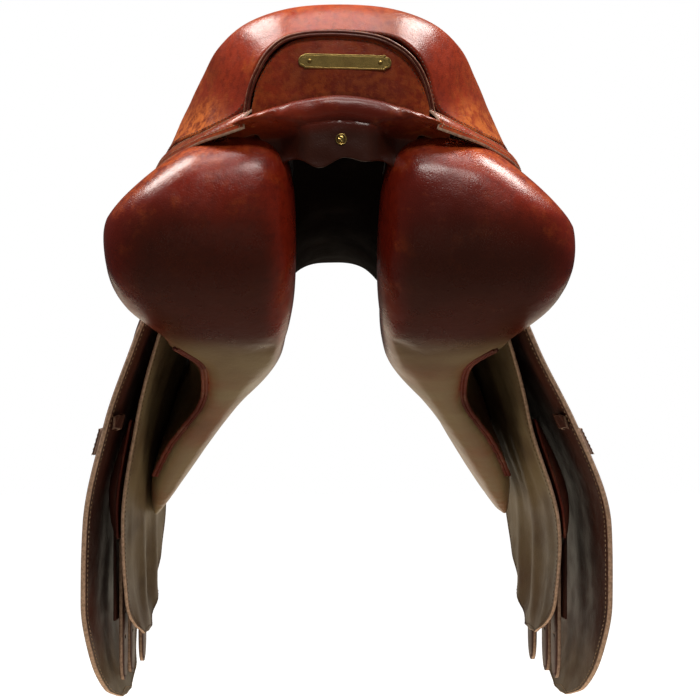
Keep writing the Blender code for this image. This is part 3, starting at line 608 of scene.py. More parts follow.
def seat_top(u, reach):
    """The seat's top at u round the rim and reach from the lowest point (0) to the crest (1)."""
    rim = catmull(whole_round(CREST), u, True)
    height = SEAT_LOW.z + (rim.z - SEAT_LOW.z) * reach**2.3
    x, y = mix(SEAT_LOW.x, rim.x, reach), mix(SEAT_LOW.y, rim.y, reach)
    return Vector((seat_x(x, y), y, height))


def seat_side(u, t):
    """The seat's side at u round the rim, from the crest (t 0) to the hem (t 1)."""
    rim, edge = (catmull(whole_round(line), u, True) for line in (CREST, HEM))
    over = seat_top(u, 1.0) - seat_top(u, 0.93)
    bulge = rim + over.normalized() * 9.0 + Vector((0, 0, -5.0))
    point = (1 - t) ** 2 * rim + 2 * t * (1 - t) * bulge + t**2 * edge
    return Vector((seat_x(point.x, point.y), point.y, point.z))


def build_seat():
    around, inward = 216, 34
    rings = [[seat_top(k / around, mix(0.03, 1.0, r / inward)) for k in range(around)]
             for r in range(inward + 1)]
    rings += [[seat_side(k / around, t / 22) for k in range(around)] for t in range(1, 23)]
    grid = np.array([[tuple(p) for p in ring] for ring in rings])
    for _ in range(9):
        inner = (grid[:-2] + 2 * grid[1:-1] + grid[2:]) / 4
        grid[inward - 4:-1] = inner[inward - 5:]
    rings = len(grid)
    points = [tuple(p) for ring in grid for p in ring] + [tuple(SEAT_LOW)]
    faces = loft_faces(rings, around, caps=False)
    faces += [(len(points) - 1, (j + 1) % around, j) for j in range(around)]
    if (Vector(points[around]) - Vector(points[0])).z < 0:
        faces = [tuple(reversed(face)) for face in faces]
    cover = piece("seat_leather", points, faces, OXBLOOD, "saddle", ["seat_cover"])
    if cover.data.polygons[len(cover.data.polygons) - 1].normal.z < 0:
        cover.data.flip_normals()
    shell = cover.modifiers.new("leather", "SOLIDIFY")
    shell.thickness, shell.offset = 2.2 * MM, -1
    settle(cover)

    def wear_and_painted_light(p, n):
        side = smoothstep(78, 102, abs(p.x)) * smoothstep(-60, -130, p.y)
        low = smoothstep(205, 176, p.z) * side
        shoulder = smoothstep(0.75, 0.2, abs(n.y) + 0.35 * n.z) * side * 0.55
        top = smoothstep(0.25, 0.75, n.z) * smoothstep(-150, -200, p.y) * 0.35
        return min(1.0, max(low, shoulder, top))
    mark(cover, "wear_and_painted_light", wear_and_painted_light)

    line = [seat_side(mix(0.30, 0.70, k / 140), 0.62) for k in range(141)]
    points, faces = tube(on_surface(line, cover, 0.2), 1.5)
    piece("seat_welt", points, faces, WELTING, "saddle")
    for k, t in enumerate((0.5, 0.74)):
        line = [seat_side(mix(0.30, 0.70, k / 140), t) for k in range(141)]
        stitch_row(f"seat_stitches_{k}", line, cover, THREAD, "saddle")
    line = [seat_side(mix(0.14, 0.86, k / 200), 0.97) for k in range(201)]
    stitch_row("seat_hem_stitches", line, cover, DARK_THREAD, "saddle")


# ------------------------------------------------------------------ the back of the cantle
# BACK_TOP: (distance from the middle, height) of the back panel's upper edge.
BACK_HALF, BACK_MIDDLE, BACK_LOW = 66.0, 1.5, 178.0
BACK_TOP = [(0, 232.5), (20, 231.5), (36, 228), (50, 218), (58, 206), (63, 195), (66, 180)]
PLATE_AT, PLATE_TILT = (4.4, 213.0), math.radians(-1.2)
SCREW_AT = (1.5, -244.6, 155.0)
CANTLE_WELT = 1.15
SEAM = [(-69, -227, 173), (-66.5, -230.5, 190), (-61, -234, 205), (-51, -236.8, 221),
        (-36, -238.5, 231), (-9, -239.4, 234.2), (23, -239.2, 232), (42, -238.2, 225),
        (56, -236, 213.5), (65, -231.5, 197), (70.5, -227, 175)]


def build_back():
    """The back panel, the double welt round it and a row of stitches on either side."""
    def surface(t, v):
        x = BACK_HALF * math.sin(math.pi / 2 * (2 * v - 1))
        end = abs(x) / BACK_HALF
        top, low = eased(BACK_TOP, abs(x)), BACK_LOW - 12.0 * end**2
        crown = 1.6 * math.sin(math.pi * t) * (1 - end**4)
        y = -236.4 - crown + 7.0 * end**2.6
        return (x + BACK_MIDDLE, y + 2.0, mix(low, top, t)), (0, -2.0, 0)
    sheet = Sheet(surface, fine(30, 0.01), fine(60, 0.006))
    panel = piece("cantle_panel", sheet.points, sheet.faces, OXBLOOD, "saddle",
                  ["cantle_back_panel"])

    mark(panel, "wear_and_painted_light", lambda p, n: 0.22 + 0.2 * smoothstep(52, 66, abs(p.x)))

    smooth = [catmull(SEAM, k / 160) for k in range(161)]
    middle = Vector((BACK_MIDDLE, -236, 185))
    for k, offset in enumerate((CANTLE_WELT, -CANTLE_WELT)):
        path = []
        for point in smooth:
            out = point - middle
            out.y = 0
            path.append(point + out.normalized() * offset + Vector((0, 0.3, 0)))
        points, faces = tube(path, CANTLE_WELT)
        welt = piece(f"cantle_piping_{k}", points, faces, WELTING, "saddle",
                     ["cantle_welt"] if k == 0 else ())
        # Lighter on each cord's upper, outer side: rubbed wear and a painted highlight.
        mark(welt, "wear_and_painted_light", lambda p, n: 0.9 * smoothstep(0.55, 0.95, n.x * p.x * 0.015 + n.z))
    for k, inset in enumerate((3.9, -4.2)):
        path = []
        for point in smooth:
            out = point - middle
            out.y = 0
            path.append(point - out.normalized() * inset)
        on = panel if k == 0 else bpy.data.objects["seat_leather"]
        stitch_row(f"cantle_stitches_{k}", path, on, DARK_THREAD, "saddle",
                   pitch=3.2, length=2.2, radius=0.3)


def build_facing():
    """The rolled strip over the channel, with its flap that the screw holds."""
    half_wide, face, bulge = 84.0, -239.2, 6.8

    def top(x):
        return 188.0 - 21.0 * (abs(x) / half_wide) ** 1.6

    def low(x):
        scallop = 139.5 + 2.2 * math.cos((x - 2) / 5.2) + 2.4 * math.sin(x / 9.5)
        ends = 162.0 - 4.0 * smoothstep(60, half_wide, abs(x))
        return mix(scallop, ends, smoothstep(46, 62, abs(x)))

    def surface(t, v):
        x = half_wide * math.sin(math.pi / 2 * (2 * v - 1))
        end = abs(x) / half_wide
        height = mix(low(x), top(x), t)
        below = (top(x) - height) / mix(19.0, 7.0, smoothstep(30, 60, abs(x)))
        roll = math.sqrt(max(0.0, 1 - min(1.0, abs(below - 0.5) * 2) ** 2))
        plate = smoothstep(0.75, 1.1, below)
        side_fold = 2.2 * math.exp(-((abs(x) - 43 - 9 * below) / 5.0) ** 2) * (1 - plate)
        side_fold += 1.1 * math.exp(-((abs(x) - 55 - 16 * below) / 4.0) ** 2)
        tuck = 24.0 * smoothstep(22, 46, abs(x)) * smoothstep(172, 158, height)
        y = face - bulge * max(roll, 0.42 * plate) * mix(1.0, 0.75, end) + side_fold + tuck
        y += 14.0 * end**3 + 0.5 * noise.noise(Vector((x, 0, height)) * 0.09)
        return (x, y, height), (0, -2.0, 0)
    sheet = Sheet(surface, fine(40, 0.012), fine(110, 0.004))
    edge = [0.35 * e if p.z > 150 else 0.0 for p, e in zip(sheet.points, sheet.edge)]
    facing = piece("rear_facing", sheet.points, sheet.faces, OXBLOOD, "saddle",
                   ["panel_rear_facing"], {"edge": edge})
    mark(facing, "wear_and_painted_light", lambda p, n: 0.25 * smoothstep(40, 80, abs(p.x)))
    # Painted shade: the facing darkens down towards the channel, and its whole tone a little.
    mark(facing, "painted_shade",
         lambda p, n: max(0.12, 0.95 * smoothstep(178, 158, p.z + 0.10 * abs(p.x))))


def build_plate():
    """The blank nameplate with its two pins, and the facing's screw in its cup."""
    half_long, half_high = 63.5 / 2 - 1.6, 11.0 / 2
    outline = []
    for side in (1, -1):
        end = [(half_long, -half_high), (half_long, -4.5)]
        end += [(half_long + 1.2 + 3.1 * math.cos(a), 4.1 * math.sin(a))
                for a in [math.radians(-75 + 15 * k) for k in range(11)]]
        end += [(half_long, 4.5), (half_long, half_high)]
        outline += [(side * x, side * z) for x, z in end]

    def ring(shrink, y):
        found = []
        for x, z in outline:
            x, z = x - math.copysign(shrink, x), z - math.copysign(shrink, z)
            y_here = y + 0.35 * (x / half_long) ** 2
            found.append((PLATE_AT[0] + x * math.cos(PLATE_TILT) - z * math.sin(PLATE_TILT), y_here,
                          PLATE_AT[1] + x * math.sin(PLATE_TILT) + z * math.cos(PLATE_TILT)))
        return found
    rings = [ring(0, -237.2), ring(0, -238.7), ring(0.35, -239.0), ring(1.0, -239.0),
             ring(1.2, -238.85), ring(1.4, -239.0)]
    points = [p for r in rings for p in r]
    piece("brass_plate", points, loft_faces(len(rings), len(outline)), BRASS, "saddle",
          ["nameplate"], sharp=25)
    for word, s in SIDES:
        x = PLATE_AT[0] + s * (half_long - 4.0) * math.cos(PLATE_TILT)
        z = PLATE_AT[1] + s * (half_long - 4.0) * math.sin(PLATE_TILT)
        dome(f"plate_pin_{word}", (x, -238.8, z), 1.5, 0.8, BRASS, "saddle",
             [f"nameplate_pin_{word}"])
    x, y, z = SCREW_AT
    dome("facing_screw", (x, y + 0.6, z), 2.9, 1.3, BRASS, "saddle", ["panel_screw"], True)
    turns = [math.pi * k / 16 for k in range(32)]
    cup = [(x + 3.8 * math.cos(turn), y + 0.3, z + 3.8 * math.sin(turn)) for turn in turns]
    points, faces = tube(cup, 0.6, 8, True)
    piece("facing_screw_cup", points, faces, BRASS, "saddle", ["panel_screw_cup"])


def dome(name, centre, radius, height, skin, body, stands_for, slot_cut=False):
    """A domed head facing the rear, with a driver slot if it is a screw."""
    rings = []
    for share, lift in ((1.0, -0.6), (1.0, 0.2), (0.92, 0.5), (0.75, 0.75), (0.5, 0.92), (0.2, 1.0)):
        ring = []
        for k in range(24):
            turn = 2 * math.pi * k / 24
            x, z = radius * share * math.cos(turn), radius * share * math.sin(turn)
            groove = 0.55 if slot_cut and abs(x * 0.6 + z * 0.8) < 0.5 and share < 0.9 else 0.0
            ring.append((centre[0] + x, centre[1] - height * lift + groove, centre[2] + z))
        rings.append(ring)
    points = [p for ring in rings for p in ring]
    return piece(name, points, loft_faces(len(rings), 24), skin, body, stands_for)


# ------------------------------------------------------------------ the sides' surface
# SIDE_PROFILE: (height, how far out the side is). GAP: (height, room from the side to the flap).
SIDE_PROFILE = [
    (-320, 164), (-260, 175), (-213, 181), (-145, 181), (-60, 167), (10, 146), (40, 134),
    (80, 118), (100, 110), (140, 97),
]
GAP = [(-306, 35), (-270, 40), (-235, 38), (-194, 35.5), (-163, 33), (-122, 28.5), (-81, 23),
       (-41, 17.5), (10, 12.8), (60, 10), (100, 8)]
# How far the flaps and sweat flaps hang out low down; the photo's two sides differ.
FLAP_SET = {"left": -10.0, "right": 13.0}
SWEAT_SET = {"left": -1.0, "right": 14.0}
FLAP_LEATHER, SWEAT_LEATHER, SKIRT_LEATHER, BILLET_LEATHER = 4.4, 3.2, 3.8, 3.4
# The blocks: rear and front edges as (height, place), heights, and the most they stand out.
KNEE = ([(-150, 140), (-80, 147), (20, 147)], [(-150, 160), (-80, 180), (20, 184)], 20, -150, 16)
CALF = ([(-160, -37), (-60, -47)], [(-160, -23), (-60, -29)], -60, -160, 13)
BILLET_PLACES = {"front": 110.0, "middle": 52.0, "rear": 16.0}


def side_x(y, z):
    """The saddle's side, unsigned: where the sweat flap's inner face lies before its own set."""
    toe = mix(0.09, 0.15, smoothstep(-60, 100, z))
    return eased(SIDE_PROFILE, z) - toe * (max(y, -110) + 60)


def flap_offset(word, y, z):
    return (eased(GAP, z) - 3.0 * smoothstep(-20, -80, y) * smoothstep(-60, 0, z)
            + FLAP_SET[word] * smoothstep(20, -150, z))


def sweat_offset(word, y, z):
    return SWEAT_SET[word] * smoothstep(-50, -170, z)


def skirt_offset(word, y, z):
    room = [(-46, 1.4), (-20, 4), (20, 15), (60, 20), (85, 16), (105, 3.5)]
    return (flap_offset(word, y, z) + FLAP_LEATHER
            + mix(1.4, eased(room, z), smoothstep(-80, 15, y)))


# Each leather's rear and front edge: (height, place along the saddle).
FLAP_HEIGHTS, SWEAT_HEIGHTS, SKIRT_HEIGHTS = (99, -306), (84, -250), (100, -46)
TOP_SLOPE = 0.13
# The slots that the stirrup bars pass through, as two corners of a box on the right side.
FLAP_SLOT = ((40, 34, 40), (165, 172, 82))
SWEAT_SLOT = ((40, 136, 44), (165, 172, 74))
SWEAT_REAR = [(-250, 20), (-240, -6), (-213, -28), (-145, -42), (-60, -52), (0, -58), (88, -66)]
SWEAT_FRONT = [(-250, 60), (-235, 98), (-190, 150), (-120, 186), (-50, 200), (20, 196),
               (88, 172)]
FLAP_REAR = [(-306, 22), (-294, -14), (-262, -42), (-222, -60), (-155, -74), (-60, -90),
             (12, -98), (95, -98)]
FLAP_FRONT = [(-306, 60), (-292, 112), (-250, 172), (-190, 226), (-120, 264), (-50, 284),
              (20, 276), (70, 240), (95, 204), (132, 178)]
SKIRT_REAR = [(-46, 22), (-44.5, 2), (-38, -36), (-10, -58), (40, -72), (95, -80)]
SKIRT_FRONT = [(-46, 38), (-44.5, 62), (-36, 110), (0, 150), (60, 168), (132, 170)]


def side_sheet(rear, front, heights, offset, thick, s, rows, columns, lift=0.0, wave=0.0):
    """A hanging leather between its rear and front edges; lift slopes its top, wave ripples it."""
    top, bottom = heights

    def surface(t, v):
        level = mix(top, bottom, t)
        y = mix(eased(rear, level), eased(front, level), v)
        z = mix(top + lift * y, bottom, t)
        ripple = wave * t * (noise.noise(Vector((y * 0.034, z * 0.010, wave))) - 0.25)
        return (s * (side_x(y, z) + offset(y, z) + ripple), y, z), (s * thick, 0, 0)
    even_t = fine(rows, 0.003)
    return Sheet(surface, [0.5 * (t + smoothstep(0, 1, t)) for t in even_t], fine(columns, 0.004))


def build_leather(word, s):
    """One side's flap, skirt and sweat flap with their stitches."""
    flap_body, skirt_body = f"flap_{word}", f"skirt_{word}"
    sheet = side_sheet(FLAP_REAR, FLAP_FRONT, FLAP_HEIGHTS, lambda y, z: flap_offset(word, y, z),
                       FLAP_LEATHER, s, 90, 76, TOP_SLOPE, 1.6)
    flap = piece(f"flap_leather_{word}", sheet.points, sheet.faces, BRIDLE, flap_body,
                 [f"flap_{word}"], {"edge": sheet.edge})
    cut(flap, box_object(FLAP_SLOT, s))
    finish_piece(flap, flap_body)
    # Painted reflection: khaki on the flap's inner face near its bottom.
    mark(flap, "painted_sheen",
         lambda p, n: 0.75 * smoothstep(0.2, -0.6, n.x * s) * smoothstep(-235, -300, p.z))
    for k, outside in enumerate((True, False)):
        path = sheet.edge_path(5.0, lambda i, j: i > 6, outside)
        stitch_row(f"flap_stitches_{word}_{k}", path, flap, THREAD, flap_body,
                   pitch=4.2, length=2.6, radius=0.42)

    sheet = side_sheet(SKIRT_REAR, SKIRT_FRONT, SKIRT_HEIGHTS, lambda y, z: skirt_offset(word, y, z),
                       SKIRT_LEATHER, s, 44, 52, TOP_SLOPE)
    skirt = piece(f"skirt_leather_{word}", sheet.points, sheet.faces, BRIDLE, skirt_body,
                  [f"skirt_{word}"], {"edge": sheet.edge})
    for k, inset in enumerate((4.5, 8.0)):
        path = sheet.edge_path(inset, lambda i, j: 3 < i < sheet.shape[0] - 4)
        stitch_row(f"skirt_stitches_{word}_{k}", path, skirt, THREAD, skirt_body)

    sheet = side_sheet(SWEAT_REAR, SWEAT_FRONT, SWEAT_HEIGHTS, lambda y, z: sweat_offset(word, y, z),
                       SWEAT_LEATHER, s, 80, 60, 0.0, 6.0)
    sweat = piece(f"sweat_leather_{word}", sheet.points, sheet.faces, BRIDLE, "saddle",
                  [f"sweat_flap_{word}"], {"edge": sheet.edge})
    cut(sweat, box_object(SWEAT_SLOT, s))
    finish_piece(sweat, "saddle")
    # Painted reflection: khaki on the sweat flap's inner face, weaker towards its bottom.
    mark(sweat, "painted_sheen", lambda p, n: smoothstep(0.3, -0.5, n.x * s)
         * mix(1.0, 0.55, smoothstep(-110, -240, p.z)))
    path = sheet.edge_path(3.5, lambda i, j: i > 10, False)
    stitch_row(f"sweat_stitches_{word}", path, sweat, DARK_THREAD, "saddle", pitch=4.0)


def box_object(corners, s):
    """A box between two corners in millimetres, on one side of the saddle."""
    low, high = [(x * s * MM, y * MM, z * MM) for x, y, z in corners]
    mesh = bpy.data.meshes.new("cutter")
    work = bmesh.new()
    bmesh.ops.create_cube(work, size=1.0)
    centre = (Vector(low) + Vector(high)) / 2
    size = [abs(b - a) for a, b in zip(low, high)]
    bmesh.ops.transform(work, matrix=Matrix.Translation(centre) @ Matrix.Diagonal((*size, 1)),
                        verts=work.verts)
    work.to_mesh(mesh)
    work.free()
    made = bpy.data.objects.new("cutter", mesh)
    bpy.context.scene.collection.objects.link(made)
    return made


def cut(made, cutter):
    """Takes the cutter out of the piece for good."""
    hole = made.modifiers.new("hole", "BOOLEAN")
    hole.operation, hole.solver, hole.object = "DIFFERENCE", "EXACT", cutter
    settle(made)
    bpy.data.objects.remove(cutter)


def build_keeper(word, s):
    """A leather loop on the flap, with the strap end that is tucked through it inside."""
    body = f"flap_{word}"
    level, rear, front, thick = -76, -80, -38, 2.4

    def surface(t, v):
        y, z = mix(rear, front, v), level + mix(10, -10, t)
        outside = side_x(y, z) + flap_offset(word, y, z) + FLAP_LEATHER
        rise = 1.0 + 3.2 * math.sin(math.pi * min(1, max(0, v))) ** 0.5
        return (s * (outside + rise), y, z), (s * thick, 0, 0)
    sheet = Sheet(surface, fine(14, 0.04), fine(40, 0.02))
    keeper = piece(f"keeper_{word}", sheet.points, sheet.faces, BRIDLE, body,
                   [f"flap_keeper_{word}"], {"edge": [0.6 * e for e in sheet.edge]})
    for k, v in enumerate((0.06, 0.94)):
        path = [Vector(surface(t / 10, v)[0]) + Vector((s * thick, 0, 0)) for t in range(11)]
        stitch_row(f"keeper_stitches_{word}_{k}", path, keeper, THREAD, body)

    def tab(t, v):
        y = mix(-84, -60, t)
        z = level + 16 + mix(5, -5, v) + 1.0 * math.sin(9 * t)
        curl = 4.0 * math.sin(math.pi * t) + 1.5 * math.sin(17 * t + 2 * v)
        inner = side_x(y, z) + flap_offset(word, y, z)
        return (s * (inner - 3.0 - curl), y, z), (s * 2.0, 0, 0)
    sheet = Sheet(tab, fine(30, 0.03), fine(10, 0.06))
    piece(f"strap_end_{word}", sheet.points, sheet.faces, BRIDLE, body, (),
          {"edge": [0.4 * e for e in sheet.edge], "wear_and_painted_light": [0.3] * len(sheet.points)})


# ------------------------------------------------------------------ panels
# WAIST: (height, how far out the panel reaches) where it draws in below the rear lobes.
# PANEL_TOP and PANEL_LOW: (place along the saddle, height).
WAIST = [(-120, 163), (-106, 158), (-81, 145), (-59, 127), (-37, 113), (-15, 113), (10, 158)]
PANEL_TOP = [(-240, 122), (-237, 138), (-231, 150), (-222, 160), (-210, 167), (-195, 170.5),
             (-182, 168), (-170, 158), (-140, 148), (-110, 128), (-80, 104), (-50, 88), (0, 82),
             (60, 82), (120, 90), (170, 96), (206, 84)]
PANEL_LOW = [(-240, 92), (-226, 60), (-200, 34), (-160, 10), (-120, -8), (-80, -30),
             (-40, -60), (0, -98), (50, -142), (100, -163), (150, -148), (185, -96),
             (206, -30)]


def panel_inner(y, z):
    """The panel's inner face, unsigned: the channel's wall at the rear, opening out ahead."""
    waist = eased([(-120, 120), (-80, 100), (-45, 77), (-22, 56), (-2, 44), (20, 40), (60, 38)], z)
    front = eased([(-165, 166), (-103, 127), (-45, 96), (0, 78), (40, 66), (90, 57)], z)
    ahead = mix(waist, front, smoothstep(-50, 90, y))
    return mix(34.5, ahead, smoothstep(-175, -60, y))


def panel_outer(y, z):
    """The panel's outer face, unsigned: the rear lobe's swell, then the drawn-in waist and side."""
    lobe = eased([(0, 150), (15, 159), (30, 170), (45, 176), (60, 179), (90, 179), (120, 174),
                  (160, 160)], z)
    side = side_x(y, z) - mix(1.5, 21.0, smoothstep(-25, 25, z))
    drawn_in = mix(min(eased(WAIST, z), side), side, smoothstep(-10, 140, y))
    return mix(lobe, drawn_in, smoothstep(-150, -88, y))


def panel_section(y, s, around):
    """One cross-section of a panel, a rounded box between its faces, top and bottom."""
    top, low = eased(PANEL_TOP, y), eased(PANEL_LOW, y)
    nose = math.sqrt(max(0.02, 1 - max(0, (-y - 200) / 41) ** 2))
    toe = math.sqrt(max(0.1, 1 - max(0, (y - 170) / 38) ** 2))
    rear = 1.0 - smoothstep(-130, -40, y)
    section = []
    for k in range(around):
        turn = 2 * math.pi * k / around
        up, out = math.sin(turn), math.cos(turn)
        power = mix(0.6, (1.0 if up > 0 else 0.75) if out > 0 else 0.5, rear)
        up = math.copysign(abs(up) ** power, up)
        out = math.copysign(abs(out) ** power, out)
        level = ((up + 1) / 2) ** (mix(1.0, 1.25, rear) if out > 0 else 1.0)
        z = mix(low, top, level)
        near, far = panel_inner(y, z), panel_outer(y, z)
        if s > 0:
            far += 5.0 * rear * smoothstep(130, 60, z)
        x = (near + far) / 2 + out * (far - near) / 2 * nose ** (0.4 if out < 0 else 1.0) * toe
        drop = 0.0014 * max(0.0, x - 48) ** 2 + 5.0 * smoothstep(50, 105, x)
        z -= rear * drop * max(0.0, up)
        section.append((s * x, y, z))
    return section


def inflate(made, cap, pressure=4.0, frames=20):
    """Blows a closed piece up as cloth; cap(point in mm) limits how far a point may move."""
    before = np.array([tuple(v.co) for v in made.data.vertices])
    cloth = made.modifiers.new("cloth", "CLOTH")
    settings = cloth.settings
    settings.quality, settings.mass = 5, 0.3
    settings.tension_stiffness = settings.compression_stiffness = 18
    settings.bending_stiffness = 0.6
    settings.use_pressure, settings.uniform_pressure_force = True, pressure
    settings.effector_weights.gravity = 0
    scene = bpy.context.scene
    for step in range(1, frames + 1):
        scene.frame_set(step)
    graph = bpy.context.evaluated_depsgraph_get()
    after = np.array([tuple(v.co) for v in made.evaluated_get(graph).data.vertices])
    made.modifiers.clear()
    scene.frame_set(1)
    move = after - before
    length = np.linalg.norm(move, axis=1)
    limit = np.array([cap(Vector(p) / MM) for p in before]) * MM
    scale = np.where(length > limit, limit / np.maximum(length, 1e-9), 1.0)
    made.data.vertices.foreach_set("co", (before + move * scale[:, None]).astype(np.float32).ravel())
    made.data.update()


def remeshed(made, voxel, passes):
    """Rebuilds a piece from voxels of so many millimetres and smooths it."""
    mesher = made.modifiers.new("voxels", "REMESH")
    mesher.mode, mesher.voxel_size = "VOXEL", voxel * MM
    ease = made.modifiers.new("ease", "SMOOTH")
    ease.factor, ease.iterations = 0.5, passes
    settle(made)


def build_panel(word, s):
    """One panel in a single skin, with the double welt where it draws in from the sweat flap."""
    places = [-240, -239.4, -238, -236, -233, -229, -224, -218, -211, -203, -194, -184]
    places += [mix(-174, 186, k / 54) for k in range(55)] + [190, 195, 199, 202.5, 205, 206]
    around = 72
    points = [p for y in places for p in panel_section(y, s, around)]
    panel = piece(f"panel_leather_{word}", points, loft_faces(len(places), around), PANEL_SKIN,
                  "saddle", [f"panel_{word}"])
    remeshed(panel, 5.0, 3)
    inflate(panel, lambda p: mix(3.5, 1.0, smoothstep(-150, -95, p.y)))
    fine_skin = panel.modifiers.new("fine", "SUBSURF")
    fine_skin.levels = fine_skin.render_levels = 1
    settle(panel)
    panel.data.materials.clear()
    panel.data.materials.append(PANEL_SKIN)
    finish_piece(panel, "saddle")

    # Painted reflection: khaki on the panel's undersides, recess and inner bearing face.
    def painted_sheen(p, n):
        low = smoothstep(-0.3, -0.85, n.z) * smoothstep(-165, -105, p.y) * smoothstep(30, 0, p.z)
        recess = smoothstep(0.0, 0.4, n.x * s) * smoothstep(-75, -50, p.y) * smoothstep(5, -15, p.z)
        side = smoothstep(0.9, 0.3, abs(n.x)) * smoothstep(-10, -50, p.z)
        bearing = smoothstep(-0.1, -0.7, n.x * s) * smoothstep(20, -60, p.z) * 0.8
        return min(1.0, max(low, recess, bearing, 0.9 * side))

    # Lighter upward-facing lobe tops: partly wear, partly painted light where the overhead lamps fall.
    def wear_and_painted_light(p, n):
        shoulder = smoothstep(0.35, 0.85, n.z) * smoothstep(-120, -170, p.y)
        return 0.75 * shoulder * (0.55 + 0.45 * smoothstep(70, 110, abs(p.x)))
    mark(panel, "painted_sheen", painted_sheen)
    mark(panel, "wear_and_painted_light", wear_and_painted_light)

    # Painted shade: the lobes' lower, rear-facing middles darkened, their outer and inner rims kept red.
    def painted_shade(p, n):
        low = smoothstep(150, 62, p.z + 14 * noise.noise(p * 0.02)) * smoothstep(0.8, -0.1, n.z)
        return 0.9 * low * smoothstep(-40, -130, p.y) * mix(1.0, 0.15, smoothstep(0.15, 0.85, abs(n.x)))
    mark(panel, "painted_shade", painted_shade)

    rear_edge = [(low, y) for y, low in reversed(PANEL_LOW[:9])]
    levels = [(z, eased(rear_edge, z)) for z in range(-112, -2, 2)]
    seam = [Vector((s * (eased(WAIST, z) + 2.0), y + 5.0, z)) for z, y in levels]
    seam = on_surface(seam, panel)
    for k, out in enumerate((0.2, 3.2)):
        points, faces = tube([p + Vector((s * out, -0.6, 0)) for p in seam], 1.7)
        piece(f"panel_piping_{word}_{k}", points, faces, WELTING, "saddle")


# The channel's ceiling: (place along the saddle, height).
CEILING = [(-230, 147), (-205, 135), (-160, 110), (-100, 90), (-50, 80), (0, 77), (60, 80),
           (120, 94), (160, 106), (200, 112)]


def build_channel():
    """The lining that arches over the channel between the panels, near black as painted shade."""
    def surface(t, v):
        y, u = mix(-230, 200, t), 2 * v - 1
        high = eased(CEILING, y)
        half = panel_inner(y, high - 15) - 1.4
        sag = mix(6.0, 19.0, smoothstep(-230, -130, y))
        wave = 0.7 * noise.noise(Vector((half * u, y, 0)) * 0.03)
        return (half * u, y, high - sag * abs(u) ** 2.6 + wave), (0, 0, 2.0)
    sheet = Sheet(surface, fine(90, 0.003), fine(26, 0.02))
    piece("channel_leather", sheet.points, sheet.faces, LINING_IN_PAINTED_SHADE, "saddle",
          ["channel_lining"])


def build_pommel_facing():
    """Leather that closes the arch between the seat's front edge and the channel."""
    def surface(t, v):
        u = 2 * v - 1
        high = Vector((54 * u, 216 - 26 * abs(u) ** 2.2, 153.0 - 7.0 * abs(u) ** 2))
        low = Vector((56 * u, 202.5, 110.0 - 17.0 * abs(u) ** 2.4))
        bow = 3.5 * math.sin(math.pi * t)
        point = high.lerp(low, t)
        return (point.x, point.y - 3.0 + bow, point.z), (0, 2.2, 0)
    sheet = Sheet(surface, fine(16, 0.02), fine(60, 0.006))
    made = piece("pommel_facing", sheet.points, sheet.faces, OXBLOOD, "saddle", (),
                 {"edge": sheet.edge})
    path = sheet.edge_path(3.5, lambda i, j: i > 10)
    stitch_row("pommel_stitches", path, made, THREAD, "saddle")


# The strip's upper and lower edges on the right side.
VALANCE_TOP = [(70, -229, 179), (84, -222, 174), (106, -202, 166), (134, -161, 158), (144, -104, 145),
               (127, -40, 122), (107, 26, 112), (89, 86, 118), (75, 136, 131), (59, 184, 147)]
VALANCE_LOW = [(76, -232, 166), (90, -226, 162), (117, -206, 155), (148, -163, 141), (151, -108, 119),
               (130, -50, 104), (104, 26, 98), (86, 86, 101), (73, 136, 109), (60, 180, 119)]


def build_valance(word, s):
    """The strip below the seat's hem, from the rear facing's end forward to the pommel."""
    def surface(t, v):
        point = catmull(VALANCE_TOP, v).lerp(catmull(VALANCE_LOW, v), t)
        bow = 3.0 * math.sin(math.pi * t)
        x = seat_x(s * (point.x + bow - 1.6), point.y)
        return (x, point.y, point.z - 1.6), (s * 1.6, 0, 1.6)
    sheet = Sheet(surface, fine(14, 0.03), fine(110, 0.003))
    made = piece(f"valance_{word}", sheet.points, sheet.faces, OXBLOOD, "saddle",
                 [f"side_valance_{word}"], {"edge": sheet.edge})
    mark(made, "wear_and_painted_light", lambda p, n: 0.3)
    stitch_row(f"valance_stitches_{word}_0", sheet.edge_path(2.6), made, THREAD, "saddle",
               pitch=3.0, length=2.0, radius=0.3)


def build_block(name, word, s, rear, front, top, bottom, most):
    """A knee or calf block: a pad at most so thick on the sweat flap's outer face, with a welt."""
    def surface(t, v):
        z = mix(top, bottom, t)
        y = mix(eased(rear, z), eased(front, z), v)
        swell = math.sin(math.pi * mix(0.1, 0.9, t)) * math.sin(math.pi * mix(0.1, 0.9, v))
        room = min(most, flap_offset(word, y, z) - sweat_offset(word, y, z) - SWEAT_LEATHER - 3)
        start = side_x(y, z) + sweat_offset(word, y, z) + SWEAT_LEATHER + 1.6
        return (s * start, y, z), (s * max(1.5, (room - 2.0) * swell**0.8), 0, 0)
    steps = [k / 24 for k in range(25)]
    sheet = Sheet(surface, steps, [k / 12 for k in range(13)])
    made = piece(f"{name}_pad_{word}", sheet.points, sheet.faces, BRIDLE, "saddle",
                 [f"{name}_block_{word}"])
    remeshed(made, 3.0, 4)
    inflate(made, lambda p: 1.2)
    made.data.materials.clear()
    made.data.materials.append(BRIDLE)
    finish_piece(made, "saddle")
    path = sheet.edge_path(0.0, outside=False)
    points, faces = tube([p + Vector((s * 0.9, 0, 0)) for p in path], 1.2, 8, True)
    piece(f"{name}_welt_{word}", points, faces, WELTING, "saddle")


# ------------------------------------------------------------------ straps
BILLET_TOP, BILLET_TAPER, BILLET_POINT, BILLET_HALF = 26, -262, 28, 12.5
HOLE_FIRST, HOLE_PITCH, HOLE_RADIUS = -252, 22, 2.2


